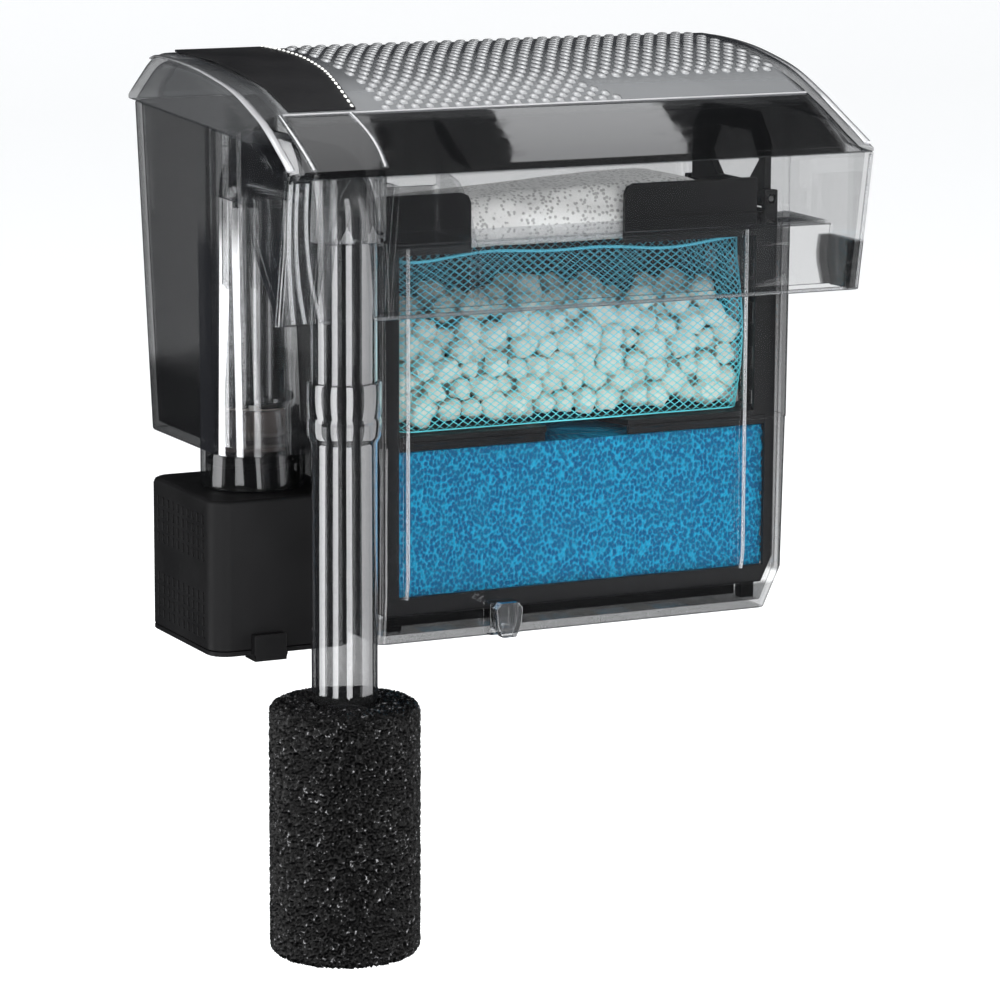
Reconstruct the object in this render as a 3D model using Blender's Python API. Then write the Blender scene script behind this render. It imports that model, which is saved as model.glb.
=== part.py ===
"""Hang-on-back aquarium power filter with its motor, intake and media, as separate pieces.

Frame: +X to the right along the front, +Y away from the tank, +Z up. The origin lies on the
underside of the spillway floor, where the filter rests on the rim of the tank, midway along
the case. Lengths below are in millimetres; meshes are scaled to metres as they are made.
"""
import math

import bpy
from mathutils import Matrix, Vector

MM = 0.001
EPS = 0.3            # running gap between neighbouring pieces

# ---------------------------------------------------------------- driving dimensions
HALF_WIDTH = 123.5   # half of the case's width at the rim
WALL = 2.5           # moulded wall of case and lid
CHAMBER_RADII = (16.0, 5.0, 6.0, 9.0)   # case corners from the front left one, counter-clockwise
CAVITY_RADII = (13.5, 2.0, 2.0, 6.5)    # the same, inside the motor chamber
FRONT_Y = 14.0       # outer face of the case's front wall
BACK_TOP_Y = 112.5   # outer face of the back wall at the rim
BACK_DRAFT = 0.104   # how far the back wall leans forward per unit of depth below RIM_BACK_Z
RIM_BACK_Z = 48.2
MOTOR_FLOOR_Z = -81.0
MEDIA_FLOOR_Z = -159.0
MEDIA_LEFT_X = -60.5
CHAMFER_X, CHAMFER_Z = 113.0, -143.0
RIB_TOP_Z = -3.0     # the front ribs stop short of the seat, which lies flat on the tank's rim

APRON_TOP_Y, APRON_TOP_Z = -46.0, 32.0
APRON_FOOT_Y, APRON_FOOT_Z = -36.0, -23.0
SPILL_FLOOR = 2.0    # thickness of the spillway floor, whose underside is z = 0
SPILL_LEFT_X = -34.0
CHUTE_LEFT_X = -78.5

TUBE_X, TUBE_Y = -93.5, -28.0
TUBE_R, TUBE_BORE = 12.5, 11.0
SOCKET_R = 14.05
SOCKET_TOP_Z, SOCKET_FOOT_Z = -46.0, -68.6
CROSS_Z = 28.6       # centre line of the U-tube's horizontal run
BEND_R = 16.0
WELL_Y = 60.0        # axis of the impeller well and of the U-tube's rear leg
WELL_R = 20.5        # outer radius of the clear collar under the motor chamber

SPONGE_R, SPONGE_TOP_Z, SPONGE_FOOT_Z = 29.0, -168.0, -266.5
TUBE_FOOT_Z = -180.0
STRAINER_FOOT_Z = -240.0

MOTOR_X0, MOTOR_X1 = -123.2, -64.0
MOTOR_Y0, MOTOR_Y1 = 28.5, 97.0
MOTOR_TOP_Z, MOTOR_FOOT_Z = -100.0, -161.0
MOTOR_WALL = 2.5
CAN_R, CAN_BORE, CAN_FOOT_Z = 15.0, 12.6, -142.0
CORD_BORE = 3.4
CORD_INLET = (-76.0, -116.0)

BASKET_X0, BASKET_X1 = -55.6, 117.3
BASKET_Y0, BASKET_Y1 = 18.0, 85.5
BASKET_FOOT_Z, BASKET_TOP_Z = -149.0, 2.0
BASKET_WALL = 2.0
BASKET_NOTCH_X0, BASKET_NOTCH_X1 = -18.5, 48.5
BASKET_RAIL_Z = 16.0
SHELF_Z = -80.5
HANDLE_PIVOT_X, HANDLE_PIVOT_Z = 114.4, 7.0

RIM = [(-60.0, 31.4), (-46.0, 32.0), (-27.0, 33.6), (-20.0, 38.0), (-13.0, 41.3), (6.0, 43.0),
       (34.0, 44.5), (125.0, 48.7)]

# Lid crown: y, height of the top, inset of the flat top from the side, drop of the rounding.
LID_STATIONS = [
    (-46.0, 34.6, 6.0, 1.6), (-40.0, 38.4, 8.0, 3.5), (-31.4, 43.2, 10.0, 5.5),
    (-22.0, 48.0, 12.0, 6.0), (-13.0, 52.4, 13.0, 6.5), (9.0, 60.3, 12.0, 6.5),
    (27.0, 64.0, 10.5, 6.0), (52.0, 67.2, 8.5, 5.5), (84.0, 68.2, 6.5, 5.0),
    (91.0, 66.4, 5.5, 4.5), (102.0, 59.2, 4.0, 4.0), (112.5, 51.2, 3.0, 2.0)]


# ---------------------------------------------------------------- scene and materials
def clear_scene():
    for obj in list(bpy.data.objects):
        bpy.data.objects.remove(obj, do_unlink=True)


def material(name, colour, roughness, metallic=0.0, transmission=0.0, alpha=1.0):
    mat = bpy.data.materials.get(name) or bpy.data.materials.new(name)
    mat.use_nodes = True
    shader = mat.node_tree.nodes["Principled BSDF"]
    shader.inputs["Base Color"].default_value = (*colour, 1.0)
    shader.inputs["Roughness"].default_value = roughness
    shader.inputs["Metallic"].default_value = metallic
    shader.inputs["Transmission Weight"].default_value = transmission
    shader.inputs["Alpha"].default_value = alpha
    mat.diffuse_color = (*colour, alpha)
    return mat


def clear_plastic():
    return material("clear_plastic", (0.80, 0.83, 0.84), 0.05, transmission=0.9, alpha=0.35)


def black_plastic():
    return material("black_plastic", (0.012, 0.012, 0.013), 0.45)


# ---------------------------------------------------------------- mesh helpers
def make_object(name, points, faces, mat, smooth_angle=35.0, origin=(0.0, 0.0, 0.0)):
    """A mesh object from points in millimetres, with its origin at the given point."""
    centre = Vector(origin)
    mesh = bpy.data.meshes.new(name)
    mesh.from_pydata([(Vector(p) - centre) * MM for p in points], [], faces)
    mesh.update()
    mesh.materials.append(mat)
    obj = bpy.data.objects.new(name, mesh)
    obj.location = centre * MM
    bpy.context.scene.collection.objects.link(obj)
    shade(obj, smooth_angle)
    return obj


def shade(obj, angle=35.0):
    obj.data.shade_smooth()
    obj.data.set_sharp_from_angle(angle=math.radians(angle))


def loft(name, rings, mat, **options):
    """A closed solid through rings of equal length, capped at both ends.

    Each ring runs counter-clockwise about the direction from the first ring to the last."""
    count = len(rings[0])
    points = [p for ring in rings for p in ring]
    faces = [tuple(range(count))[::-1]]
    for level in range(len(rings) - 1):
        low, high = level * count, (level + 1) * count
        for i in range(count):
            j = (i + 1) % count
            faces.append((low + i, low + j, high + j, high + i))
    top = (len(rings) - 1) * count
    faces.append(tuple(top + i for i in range(count)))
    return make_object(name, points, faces, mat, **options)


def place(axis, u, v, w):
    """A point whose coordinate along the axis is w and whose other two, in order, are u and v."""
    return {"X": (w, u, v), "Y": (u, w, v), "Z": (u, v, w)}[axis]


def prism(name, outline, axis, low, high, mat, **options):
    """An outline in the other two coordinates, in their alphabetical order, extruded along an axis."""
    area = sum(a[0] * b[1] - b[0] * a[1] for a, b in zip(outline, outline[1:] + outline[:1]))
    turned = outline if (area > 0) != (axis == "Y") else outline[::-1]
    rings = [[place(axis, u, v, w) for u, v in turned] for w in (low, high)]
    return loft(name, rings, mat, **options)


def box(name, x, y, z, mat, **options):
    outline = [(x[0], y[0]), (x[1], y[0]), (x[1], y[1]), (x[0], y[1])]
    return prism(name, outline, "Z", z[0], z[1], mat, **options)


def rounded_rectangle(x0, x1, y0, y1, radius, steps=4):
    """Corner-rounded rectangle, counter-clockwise. radius is one number or one per corner,
    from (x0, y0) on counter-clockwise."""
    radii = radius if isinstance(radius, (tuple, list)) else (radius,) * 4
    corners = [(x0, y0, 1, 1, 180), (x1, y0, -1, 1, 270), (x1, y1, -1, -1, 0), (x0, y1, 1, -1, 90)]
    outline = []
    for (x, y, sx, sy, start), r in zip(corners, radii):
        for k in range(steps + 1):
            a = math.radians(start + 90.0 * k / steps)
            outline.append((x + sx * r + r * math.cos(a), y + sy * r + r * math.sin(a)))
    return outline


def lathe(name, profile, centre, mat, axis="Z", segments=32, **options):
    """A solid of revolution. The profile is (radius, height) and closed; points of radius 0
    lie on the axis. It runs counter-clockwise in the radius-height plane."""
    cx, cy = centre
    points, rows = [], []
    for radius, height in profile:
        if radius < 1e-6:
            rows.append([len(points)] * segments)
            points.append(place(axis, cx, cy, height))
            continue
        row = []
        for k in range(segments):
            a = 2 * math.pi * k / segments
            row.append(len(points))
            points.append(place(axis, cx + radius * math.cos(a), cy + radius * math.sin(a), height))
        rows.append(row)
    faces = []
    for low, high in zip(rows, rows[1:] + rows[:1]):
        if low[0] == low[1] and high[0] == high[1]:
            continue
        for k in range(segments):
            j = (k + 1) % segments
            face = [low[k], low[j], high[j], high[k]]
            if axis == "Y":
                face.reverse()
            faces.append(tuple(dict.fromkeys(face)))
    return make_object(name, points, faces, mat, **options)


def swept_tube(name, path, outer, inner, mat, segments=24, **options):
    """A pipe along a path in a plane x = constant, open at both ends."""
    count = len(path)
    tangents = []
    for i in range(count):
        a, b = path[max(i - 1, 0)], path[min(i + 1, count - 1)]
        tangents.append((Vector(b) - Vector(a)).normalized())
    side = Vector((1.0, 0.0, 0.0))
    points, faces = [], []
    for radius in (outer, inner):
        for centre, tangent in zip(path, tangents):
            up = tangent.cross(side)
            for k in range(segments):
                a = 2 * math.pi * k / segments
                points.append(Vector(centre) + side * radius * math.cos(a) + up * radius * math.sin(a))
    shell = count * segments
    for i in range(count - 1):
        for k in range(segments):
            j = (k + 1) % segments
            a, b = i * segments, (i + 1) * segments
            faces.append((a + k, a + j, b + j, b + k))
            faces.append((shell + b + k, shell + b + j, shell + a + j, shell + a + k))
    last = (count - 1) * segments
    for k in range(segments):
        j = (k + 1) % segments
        faces.append((shell + k, shell + j, j, k))
        faces.append((last + k, last + j, shell + last + j, shell + last + k))
    return make_object(name, points, faces, mat, **options)


def combine(target, others, operation, angle=35.0):
    """Boolean each of the other objects into the target, and remove them."""
    for other in others:
        modifier = target.modifiers.new("Boolean", "BOOLEAN")
        modifier.operation = operation
        modifier.solver = "EXACT"
        modifier.object = other
        graph = bpy.context.evaluated_depsgraph_get()
        mesh = bpy.data.meshes.new_from_object(target.evaluated_get(graph))
        target.modifiers.clear()
        old, name = target.data, target.data.name
        target.data = mesh
        bpy.data.meshes.remove(old)
        mesh.name = name
        bpy.data.objects.remove(other, do_unlink=True)
    shade(target, angle)
    return target


def add(target, *others):
    return combine(target, others, "UNION")


def cut(target, *others):
    return combine(target, others, "DIFFERENCE")


def rim_height(y):
    for (y0, z0), (y1, z1) in zip(RIM, RIM[1:]):
        if y <= y1:
            return z0 + (z1 - z0) * (y - y0) / (y1 - y0)
    return RIM[-1][1]


def back_wall(z):
    return BACK_TOP_Y - BACK_DRAFT * (RIM_BACK_Z - z)


# ---------------------------------------------------------------- case
def case_ring(z, x0, x1, inset, radius):
    outline = rounded_rectangle(x0 + inset, x1 - inset, FRONT_Y + inset, back_wall(z) - inset, radius)
    return [(x, y, z) for x, y in outline]


def case_body():
    """The outer block: the media chamber below, widening to the full case at the motor floor."""
    shared = 0.15
    rings = [
        case_ring(MEDIA_FLOOR_Z, MEDIA_LEFT_X, CHAMFER_X, shared, 4.0),
        case_ring(CHAMFER_Z, MEDIA_LEFT_X, 121.0, shared, 5.0),
        case_ring(MOTOR_FLOOR_Z, MEDIA_LEFT_X, 122.3, shared, 5.0),
        case_ring(MOTOR_FLOOR_Z, -HALF_WIDTH + 0.8, 122.4, 0.0, CHAMBER_RADII),
        case_ring(58.0, -HALF_WIDTH, HALF_WIDTH, 0.0, CHAMBER_RADII)]
    body = loft("filter_case", rings, clear_plastic())
    motor_chamber = loft("motor_cavity", [
        case_ring(MOTOR_FLOOR_Z + 3.0, -HALF_WIDTH + 0.8, MEDIA_LEFT_X + 1.2, WALL, CAVITY_RADII),
        case_ring(70.0, -HALF_WIDTH, MEDIA_LEFT_X + 1.2, WALL, CAVITY_RADII)], clear_plastic())
    media_chamber = loft("media_cavity", [
        case_ring(MEDIA_FLOOR_Z + 3.0, MEDIA_LEFT_X, CHAMFER_X + 1.0, WALL, 2.0),
        case_ring(CHAMFER_Z + 1.5, MEDIA_LEFT_X, 121.1, WALL, 3.0),
        case_ring(70.0, MEDIA_LEFT_X, HALF_WIDTH + 0.1, WALL, 3.0)], clear_plastic())
    return cut(body, motor_chamber, media_chamber)


def tank_side_walls():
    """The hood in front of the case: side walls, apron, spillway floor, lip and dividers."""
    skin = clear_plastic()
    top = 56.0
    apron_outer = [(APRON_TOP_Y, top), (APRON_TOP_Y, APRON_TOP_Z), (APRON_FOOT_Y, APRON_FOOT_Z)]
    left_outline = apron_outer + [(-32.0, APRON_FOOT_Z), (-29.0, -16.0), (-20.0, -6.5), (-13.0, 2.0),
                                  (-9.5, 9.0), (-6.0, 15.5), (-2.4, 18.1), (3.0, 18.6), (29.0, 19.0),
                                  (29.0, top)]
    right_outline = apron_outer + [(-17.5, APRON_FOOT_Z), (-14.5, -17.0), (-13.0, -10.6), (-15.5, 0.6),
                                   (20.0, 0.6), (20.0, top)]
    left = prism("left_wall", left_outline, "X", -HALF_WIDTH + 0.1, -HALF_WIDTH + WALL, skin)
    right = prism("right_wall", right_outline, "X", HALF_WIDTH - WALL, HALF_WIDTH - 0.1, skin)
    apron_outline = apron_outer + [(APRON_FOOT_Y + WALL, APRON_FOOT_Z), (APRON_TOP_Y + WALL, APRON_TOP_Z),
                                   (APRON_TOP_Y + WALL, top)]
    apron = prism("apron", apron_outline, "X", -HALF_WIDTH + 0.05, HALF_WIDTH - 0.05, skin)
    floor_outline = [(-15.0, 0.0), (16.0, 0.0), (16.0, SPILL_FLOOR), (-15.0, SPILL_FLOOR)]
    floor = prism("spill_floor", floor_outline, "X", CHUTE_LEFT_X, HALF_WIDTH - 1.0, skin)
    lip_face = [(-15.8, 1.4), (-16.6, -2.0), (-15.4, -6.5), (-14.6, -10.6), (-15.2, -15.0), (-18.5, -22.8)]
    lip_outline = lip_face + [(y + 2.2, z) for y, z in lip_face[::-1]]
    lip = prism("spill_lip", lip_outline, "X", CHUTE_LEFT_X + 0.1, HALF_WIDTH - 1.1, skin)
    divider_outline = [(15.5, 26.5), (9.7, 25.5), (0.0, 23.5), (-4.8, 20.5), (-9.0, 16.0), (-12.1, 11.2),
                       (-19.4, -2.8), (-24.6, -12.2), (-21.3, -22.6), (-17.2, -22.6), (-14.0, -10.0),
                       (-14.6, 0.8), (15.5, 0.8)]
    divider = prism("spill_divider", divider_outline, "X", SPILL_LEFT_X - 1.0, SPILL_LEFT_X + 1.0, skin)
    chute_outline = [(-44.0, 28.0), (-36.5, -22.5), (-17.4, -22.5), (-13.9, -10.0), (-14.0, 1.0),
                     (15.5, 1.0), (15.5, 12.0), (-6.0, 14.0), (-20.0, 28.0)]
    chute = prism("chute_wall", chute_outline, "X", CHUTE_LEFT_X - 0.9, CHUTE_LEFT_X + 1.1, skin)
    return [left, right, apron, floor, lip, divider, chute]


def half_round(radius, start, stop, steps=14):
    """Points of an arc about the intake tube's axis, in the XY plane."""
    arc = []
    for k in range(steps + 1):
        a = math.radians(start + (stop - start) * k / steps)
        arc.append((TUBE_X + radius * math.cos(a), TUBE_Y + radius * math.sin(a)))
    return arc


def tube_guide(case):
    """The cup in the apron that guides the intake tube, open below for the tube to swing in."""
    skin = clear_plastic()
    cup_radius, cup_wall = 13.9, 1.9
    outline = half_round(cup_radius + cup_wall, 172, 368) + half_round(cup_radius, 368, 172)
    cup = prism("guide_cup", outline, "Z", 7.0, 31.2, skin)
    add(case, cup)
    bore = prism("guide_bore", half_round(cup_radius, 170, 370), "Z", -30.0, 31.8, skin)
    arch_outline = [(-109.0, -30.0), (-78.6, -30.0), (-80.4, -7.0), (-82.5, 6.9), (-104.5, 6.9),
                    (-107.0, -7.0)]
    arch = prism("guide_arch", arch_outline, "Y", -60.0, -33.0, skin)
    cut(case, bore, arch)
    fin_outline = [(-44.0, 6.0), (-36.6, -22.6), (-27.0, -22.6), (-29.0, -6.0), (-33.0, 6.0)]
    fin = prism("guide_fin", fin_outline, "X", -111.0, -109.2, skin)
    return add(case, fin)


def impeller_well(case):
    """The collar that the motor's neck plugs into, and the low ring around the impeller."""
    skin = clear_plastic()
    centre = (TUBE_X, WELL_Y)
    collar = lathe("well_collar", [(WELL_R - 2.0, -99.6), (WELL_R, -99.6), (WELL_R, -80.0),
                                   (WELL_R - 2.0, -80.0)], centre, skin, segments=40)
    ring = lathe("well_ring", [(16.6, -79.5), (18.4, -79.5), (18.4, -68.0), (16.6, -68.0)],
                 centre, skin, segments=40)
    hole = lathe("well_hole", [(0.0, -84.0), (17.6, -84.0), (17.6, -77.0), (0.0, -77.0)],
                 centre, skin, segments=40)
    add(case, collar)
    cut(case, hole)
    add(case, ring)
    outlet = box("ring_outlet", (-92.0, -70.0), (52.0, 68.0), (-77.0, -67.0), skin)
    return cut(case, outlet)


def case_details(case):
    """Wall cut-downs, the passage between the chambers, ribs, and the levelling-foot socket."""
    skin = clear_plastic()
    through_front = (FRONT_Y - 9.0, FRONT_Y + 5.0)
    through_partition = (MEDIA_LEFT_X - 4.0, MEDIA_LEFT_X + 4.0)
    inner_right = HALF_WIDTH - WALL - 0.1
    tube_gap = box("tube_gap", (-HALF_WIDTH + WALL, MEDIA_LEFT_X), through_front, (15.2, 80.0), skin)
    weir = box("weir", (SPILL_LEFT_X + 1.0, inner_right), through_front, (SPILL_FLOOR, 80.0), skin)
    side_weir = box("side_weir", (CHUTE_LEFT_X + 22.0, SPILL_LEFT_X - 1.0), through_front,
                    (20.0, 80.0), skin)
    partition = box("partition_top", through_partition, (19.0, 100.0), (6.0, 80.0), skin)
    passage = box("passage", through_partition, (30.0, 80.0), (-76.0, -58.0), skin)
    cut(case, tube_gap, weir, side_weir, partition, passage)
    for x in (-48.5, 100.2):
        outline = [(FRONT_Y + 0.6, RIB_TOP_Z), (FRONT_Y + 0.6, -143.0), (FRONT_Y - 0.4, -141.5),
                   (FRONT_Y - 2.0, -136.0), (FRONT_Y - 2.0, RIB_TOP_Z)]
        add(case, prism("front_rib", outline, "X", x - 0.8, x + 0.8, skin))
    socket = box("foot_socket", (-14.5, -1.5), (FRONT_Y - 5.0, FRONT_Y + 0.5), (-158.0, -145.0), skin)
    pocket = box("foot_pocket", (-12.5, -3.5), (0.0, FRONT_Y - 0.2), (-156.0, -147.0), skin)
    add(case, socket)
    return cut(case, pocket)


def trim_to_rim(case):
    outline = [(y, z - EPS) for y, z in RIM] + [(125.0, 120.0), (-60.0, 120.0)]
    return cut(case, prism("above_rim", outline, "X", -200.0, 200.0, clear_plastic()))


def filter_case():
    case = case_body()
    add(case, *tank_side_walls())
    case_details(case)
    tube_guide(case)
    impeller_well(case)
    return trim_to_rim(case)


def levelling_foot():
    """A pad on a square stem that slides in its socket and bears on the glass of the tank."""
    stem = box("levelling_foot", (-12.1, -3.9), (FRONT_Y - 8.0, FRONT_Y - 0.6), (-155.6, -147.4),
               clear_plastic(), origin=(-8.0, FRONT_Y - 8.0, -151.5))
    pad_outline = [(-13.0, -154.0), (-11.0, -158.5), (-5.0, -158.5), (-3.0, -154.0), (-2.2, -147.0),
                   (-4.5, -144.6), (-11.5, -144.6), (-13.8, -147.0)]
    pad = prism("foot_pad", pad_outline, "Y", FRONT_Y - 9.6, FRONT_Y - 5.4, clear_plastic())
    return add(stem, pad)


# ---------------------------------------------------------------- lid
def lid_section(y, top, inset, drop, half_width, foot):
    """One section of the crown across the case, from the left foot over the top to the right."""
    arc_steps = 4
    right = []
    for k in range(arc_steps + 1):
        a = math.radians(90.0 * k / arc_steps)
        right.append((half_width - inset + inset * math.cos(a), top - drop + drop * math.sin(a)))
    half = [(half_width, foot)] + right
    points = half + [(-x, z) for x, z in half[::-1]]
    return [(x, y, z) for x, z in points[::-1]]


def crown(name, inward, foot, ends):
    sections = []
    for y, top, inset, drop in LID_STATIONS:
        y_in = min(max(y, ends[0]), ends[1])
        wall_height = top - rim_height(y) - 0.6
        sections.append(lid_section(y_in, top - inward * 1.1, inset, min(drop, wall_height),
                                    HALF_WIDTH - inward, foot))
    return loft(name, sections, clear_plastic(), smooth_angle=25.0)


def lid():
    first, last = LID_STATIONS[0][0], LID_STATIONS[-1][0]
    outer = crown("lid", 0.0, 10.0, (first, last))
    inner = crown("lid_inside", WALL, 0.0, (first + WALL, last - WALL))
    shell = cut(outer, inner)
    outline = RIM + [(125.0, -20.0), (-60.0, -20.0)]
    below = prism("below_rim", outline, "X", -200.0, 200.0, clear_plastic())
    return cut(shell, below)


def crown_height(y):
    for a, b in zip(LID_STATIONS, LID_STATIONS[1:]):
        if y <= b[0]:
            return a[1] + (b[1] - a[1]) * (y - a[0]) / (b[0] - a[0])
    return LID_STATIONS[-1][1]


def lid_label():
    """A thin black strip over the left end of the lid's top, following the crown."""
    rows = [-11.5, 9.0, 27.0, 52.0, 83.0]
    left = [-108.5, -109.5, -111.5, -113.5, -115.5]
    right = [-81.0, -79.0, -76.5, -76.0, -78.0]
    rings = []
    for y, x0, x1 in zip(rows, left, right):
        low = crown_height(y) + EPS
        high = low + 0.9
        rings.append([(x0, y, low), (x0, y, high), (x1, y, high), (x1, y, low)])
    return loft("lid_label", rings, material("label_black", (0.015, 0.015, 0.016), 0.35))


# ---------------------------------------------------------------- intake
def u_tube_path():
    """Centre line of the U-tube: up the front leg, back over the rim, down to the impeller."""
    path = [Vector((TUBE_X, TUBE_Y, z)) for z in (-60.0, -20.0, CROSS_Z - BEND_R)]
    steps = 7
    for k in range(1, steps + 1):
        a = math.radians(180.0 - 90.0 * k / steps)
        path.append(Vector((TUBE_X, TUBE_Y + BEND_R + BEND_R * math.cos(a),
                            CROSS_Z - BEND_R + BEND_R * math.sin(a))))
    for k in range(steps + 1):
        a = math.radians(90.0 - 90.0 * k / steps)
        path.append(Vector((TUBE_X, WELL_Y - BEND_R + BEND_R * math.cos(a),
                            CROSS_Z - BEND_R + BEND_R * math.sin(a))))
    path.append(Vector((TUBE_X, WELL_Y, -64.0)))
    return path


def intake_u_tube():
    skin = clear_plastic()
    tube = swept_tube("intake_u_tube", u_tube_path(), TUBE_R, TUBE_BORE, skin,
                      origin=(TUBE_X, TUBE_Y, CROSS_Z))
    bore, rim, low, high = TUBE_BORE - 0.4, 16.2, -66.0, -63.6
    flange = lathe("flange", [(bore, low), (rim, low), (rim, high), (bore, high)], (TUBE_X, WELL_Y), skin,
                   segments=32)
    return add(tube, flange)


def intake_extension_tube():
    shoulder = 2.0
    fit = 0.35
    profile = [
        (TUBE_BORE, TUBE_FOOT_Z), (TUBE_R, TUBE_FOOT_Z), (TUBE_R, SOCKET_FOOT_Z),
        (SOCKET_R, SOCKET_FOOT_Z + shoulder), (SOCKET_R, SOCKET_TOP_Z), (TUBE_R + fit, SOCKET_TOP_Z),
        (TUBE_R + fit, SOCKET_FOOT_Z + 8.0), (TUBE_BORE, SOCKET_FOOT_Z + 6.5)]
    return lathe("intake_extension_tube", profile, (TUBE_X, TUBE_Y), clear_plastic(), segments=32,
                 origin=(TUBE_X, TUBE_Y, 0.0))


def intake_strainer():
    """A slotted cap whose spigot plugs into the end of the extension tube."""
    top = TUBE_FOOT_Z - EPS
    profile = [
        (9.0, STRAINER_FOOT_Z + 2.0), (9.0, top + 8.0),
        (TUBE_BORE - EPS, top + 8.0), (TUBE_BORE - EPS, top),
        (TUBE_R - 0.3, top), (TUBE_R - 0.3, STRAINER_FOOT_Z), (0.0, STRAINER_FOOT_Z),
        (0.0, STRAINER_FOOT_Z + 2.0)]
    grey = material("strainer_grey", (0.05, 0.05, 0.055), 0.4)
    strainer = lathe("intake_strainer", profile[::-1], (TUBE_X, TUBE_Y), grey, segments=24,
                     origin=(TUBE_X, TUBE_Y, 0.0))
    slots = []
    for k in range(3):
        slot = box("strainer_slot", (-20.0, 20.0), (-1.6, 1.6), (STRAINER_FOOT_Z + 6.0, top - 6.0),
                   grey)
        slot.data.transform(Matrix.Rotation(math.radians(60.0 * k), 4, "Z"))
        slot.data.transform(Matrix.Translation(Vector((TUBE_X, TUBE_Y, 0.0)) * MM))
        slots.append(slot)
    return cut(strainer, *slots)


def prefilter_sponge():
    """A rounded foam cylinder with a blind bore that it is pushed over the intake by."""
    rounding = 4.0
    bore = TUBE_R + EPS
    profile = [(0.0, SPONGE_FOOT_Z)]
    for k in range(4):
        a = math.radians(-90.0 + 30.0 * k)
        profile.append((SPONGE_R - rounding + rounding * math.cos(a),
                        SPONGE_FOOT_Z + rounding + rounding * math.sin(a)))
    for k in range(4):
        a = math.radians(30.0 * k)
        profile.append((SPONGE_R - rounding + rounding * math.cos(a),
                        SPONGE_TOP_Z - rounding + rounding * math.sin(a)))
    profile += [(bore, SPONGE_TOP_Z), (bore, STRAINER_FOOT_Z - EPS), (0.0, STRAINER_FOOT_Z - EPS)]
    foam = material("sponge_black", (0.01, 0.01, 0.011), 0.9)
    return lathe("prefilter_sponge", profile, (TUBE_X, TUBE_Y), foam, segments=36,
                 origin=(TUBE_X, TUBE_Y, 0.0))


# ---------------------------------------------------------------- motor
def motor_footprint(inset):
    return rounded_rectangle(MOTOR_X0 + inset, MOTOR_X1 - inset, MOTOR_Y0 + inset, MOTOR_Y1 - inset,
                             8.0 - inset, steps=5)


def motor_housing():
    """The black shell, with the neck and blind can that hold the rotor moulded into its top."""
    black = black_plastic()
    centre = (TUBE_X, WELL_Y)
    foot = MOTOR_FOOT_Z + 2.2
    edge = 2.0
    rings = []
    for z, inset in ((foot, 0.0), (MOTOR_TOP_Z - edge, 0.0), (MOTOR_TOP_Z - 0.6, 0.6), (MOTOR_TOP_Z, edge)):
        rings.append([(x, y, z) for x, y in motor_footprint(inset)])
    shell = loft("motor_housing", rings, black, origin=(TUBE_X, WELL_Y, MOTOR_TOP_Z))
    hollow = prism("housing_hollow", motor_footprint(MOTOR_WALL), "Z", foot - 5.0,
                   MOTOR_TOP_Z - MOTOR_WALL, black)
    cut(shell, hollow)
    can = lathe("rotor_can", [(0.0, CAN_FOOT_Z), (CAN_R, CAN_FOOT_Z), (CAN_R, MOTOR_TOP_Z - 1.2),
                              (0.0, MOTOR_TOP_Z - 1.2)], centre, black, segments=32)
    base, shoulder = MOTOR_TOP_Z - 1.0, MOTOR_TOP_Z + 0.1
    neck_profile = [(0.0, base), (19.8, base), (19.8, shoulder), (16.4, shoulder), (16.4, -91.5),
                    (15.6, -91.5), (15.6, -88.5), (16.4, -88.5), (16.4, -80.4), (0.0, -80.4)]
    neck = lathe("rotor_neck", neck_profile, centre, black, segments=32)
    add(shell, can, neck)
    bore = lathe("rotor_bore", [(0.0, CAN_FOOT_Z + 2.0), (CAN_BORE, CAN_FOOT_Z + 2.0), (CAN_BORE, -70.0),
                                (0.0, -70.0)], centre, black, segments=32)
    y0, y1 = MOTOR_Y1 - 6.0, MOTOR_Y1 + 2.0
    cable_hole = lathe("cable_hole", [(0.0, y0), (CORD_BORE, y0), (CORD_BORE, y1), (0.0, y1)],
                       CORD_INLET, black, axis="Y", segments=16)
    cut(shell, bore, cable_hole)
    return shell


def motor_bottom_cover():
    """The plate that closes the housing, with a grip tab at its front edge."""
    black = black_plastic()
    foot = MOTOR_FOOT_Z
    plate = prism("motor_bottom_cover", motor_footprint(0.0), "Z", foot, foot + 1.9, black)
    tab = box("cover_tab", (-108.0, -94.4), (MOTOR_Y0 - 4.0, MOTOR_Y0 + 6.0), (foot - 2.0, foot + 1.0),
              black)
    lip = box("cover_tab_lip", (-107.9, -94.5), (MOTOR_Y0 - 4.0, MOTOR_Y0 - EPS),
              (foot - 1.0, foot + 8.5), black)
    return add(plate, tab, lip)


def stator_core():
    """A stack of U-shaped laminations whose two poles embrace the rotor can."""
    steel = material("lamination_steel", (0.28, 0.28, 0.30), 0.4, metallic=1.0)
    core = box("stator_core", (-118.0, -69.0), (42.0, 90.0), (-134.0, -114.0), steel)
    window = box("core_window", (-105.5, -81.5), (30.0, 80.0), (-140.0, -108.0), steel)
    pole_bore = lathe("pole_bore", [(0.0, -140.0), (CAN_R + EPS, -140.0), (CAN_R + EPS, -108.0),
                                    (0.0, -108.0)], (TUBE_X, WELL_Y), steel, segments=32)
    return cut(core, window, pole_bore)


def coil_bobbin():
    nylon = material("bobbin_nylon", (0.75, 0.74, 0.68), 0.5)
    bobbin = box("coil_bobbin", (-104.9, -82.1), (78.8, 91.4), (-135.4, -112.6), nylon)
    for x0, x1 in ((-104.9, -103.7), (-83.3, -82.1)):
        add(bobbin, box("bobbin_cheek", (x0, x1), (76.2, 94.0), (-139.0, -109.0), nylon))
    return cut(bobbin, box("bobbin_hole", (-110.0, -78.0), (79.7, 90.3), (-134.3, -113.7), nylon))


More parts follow.
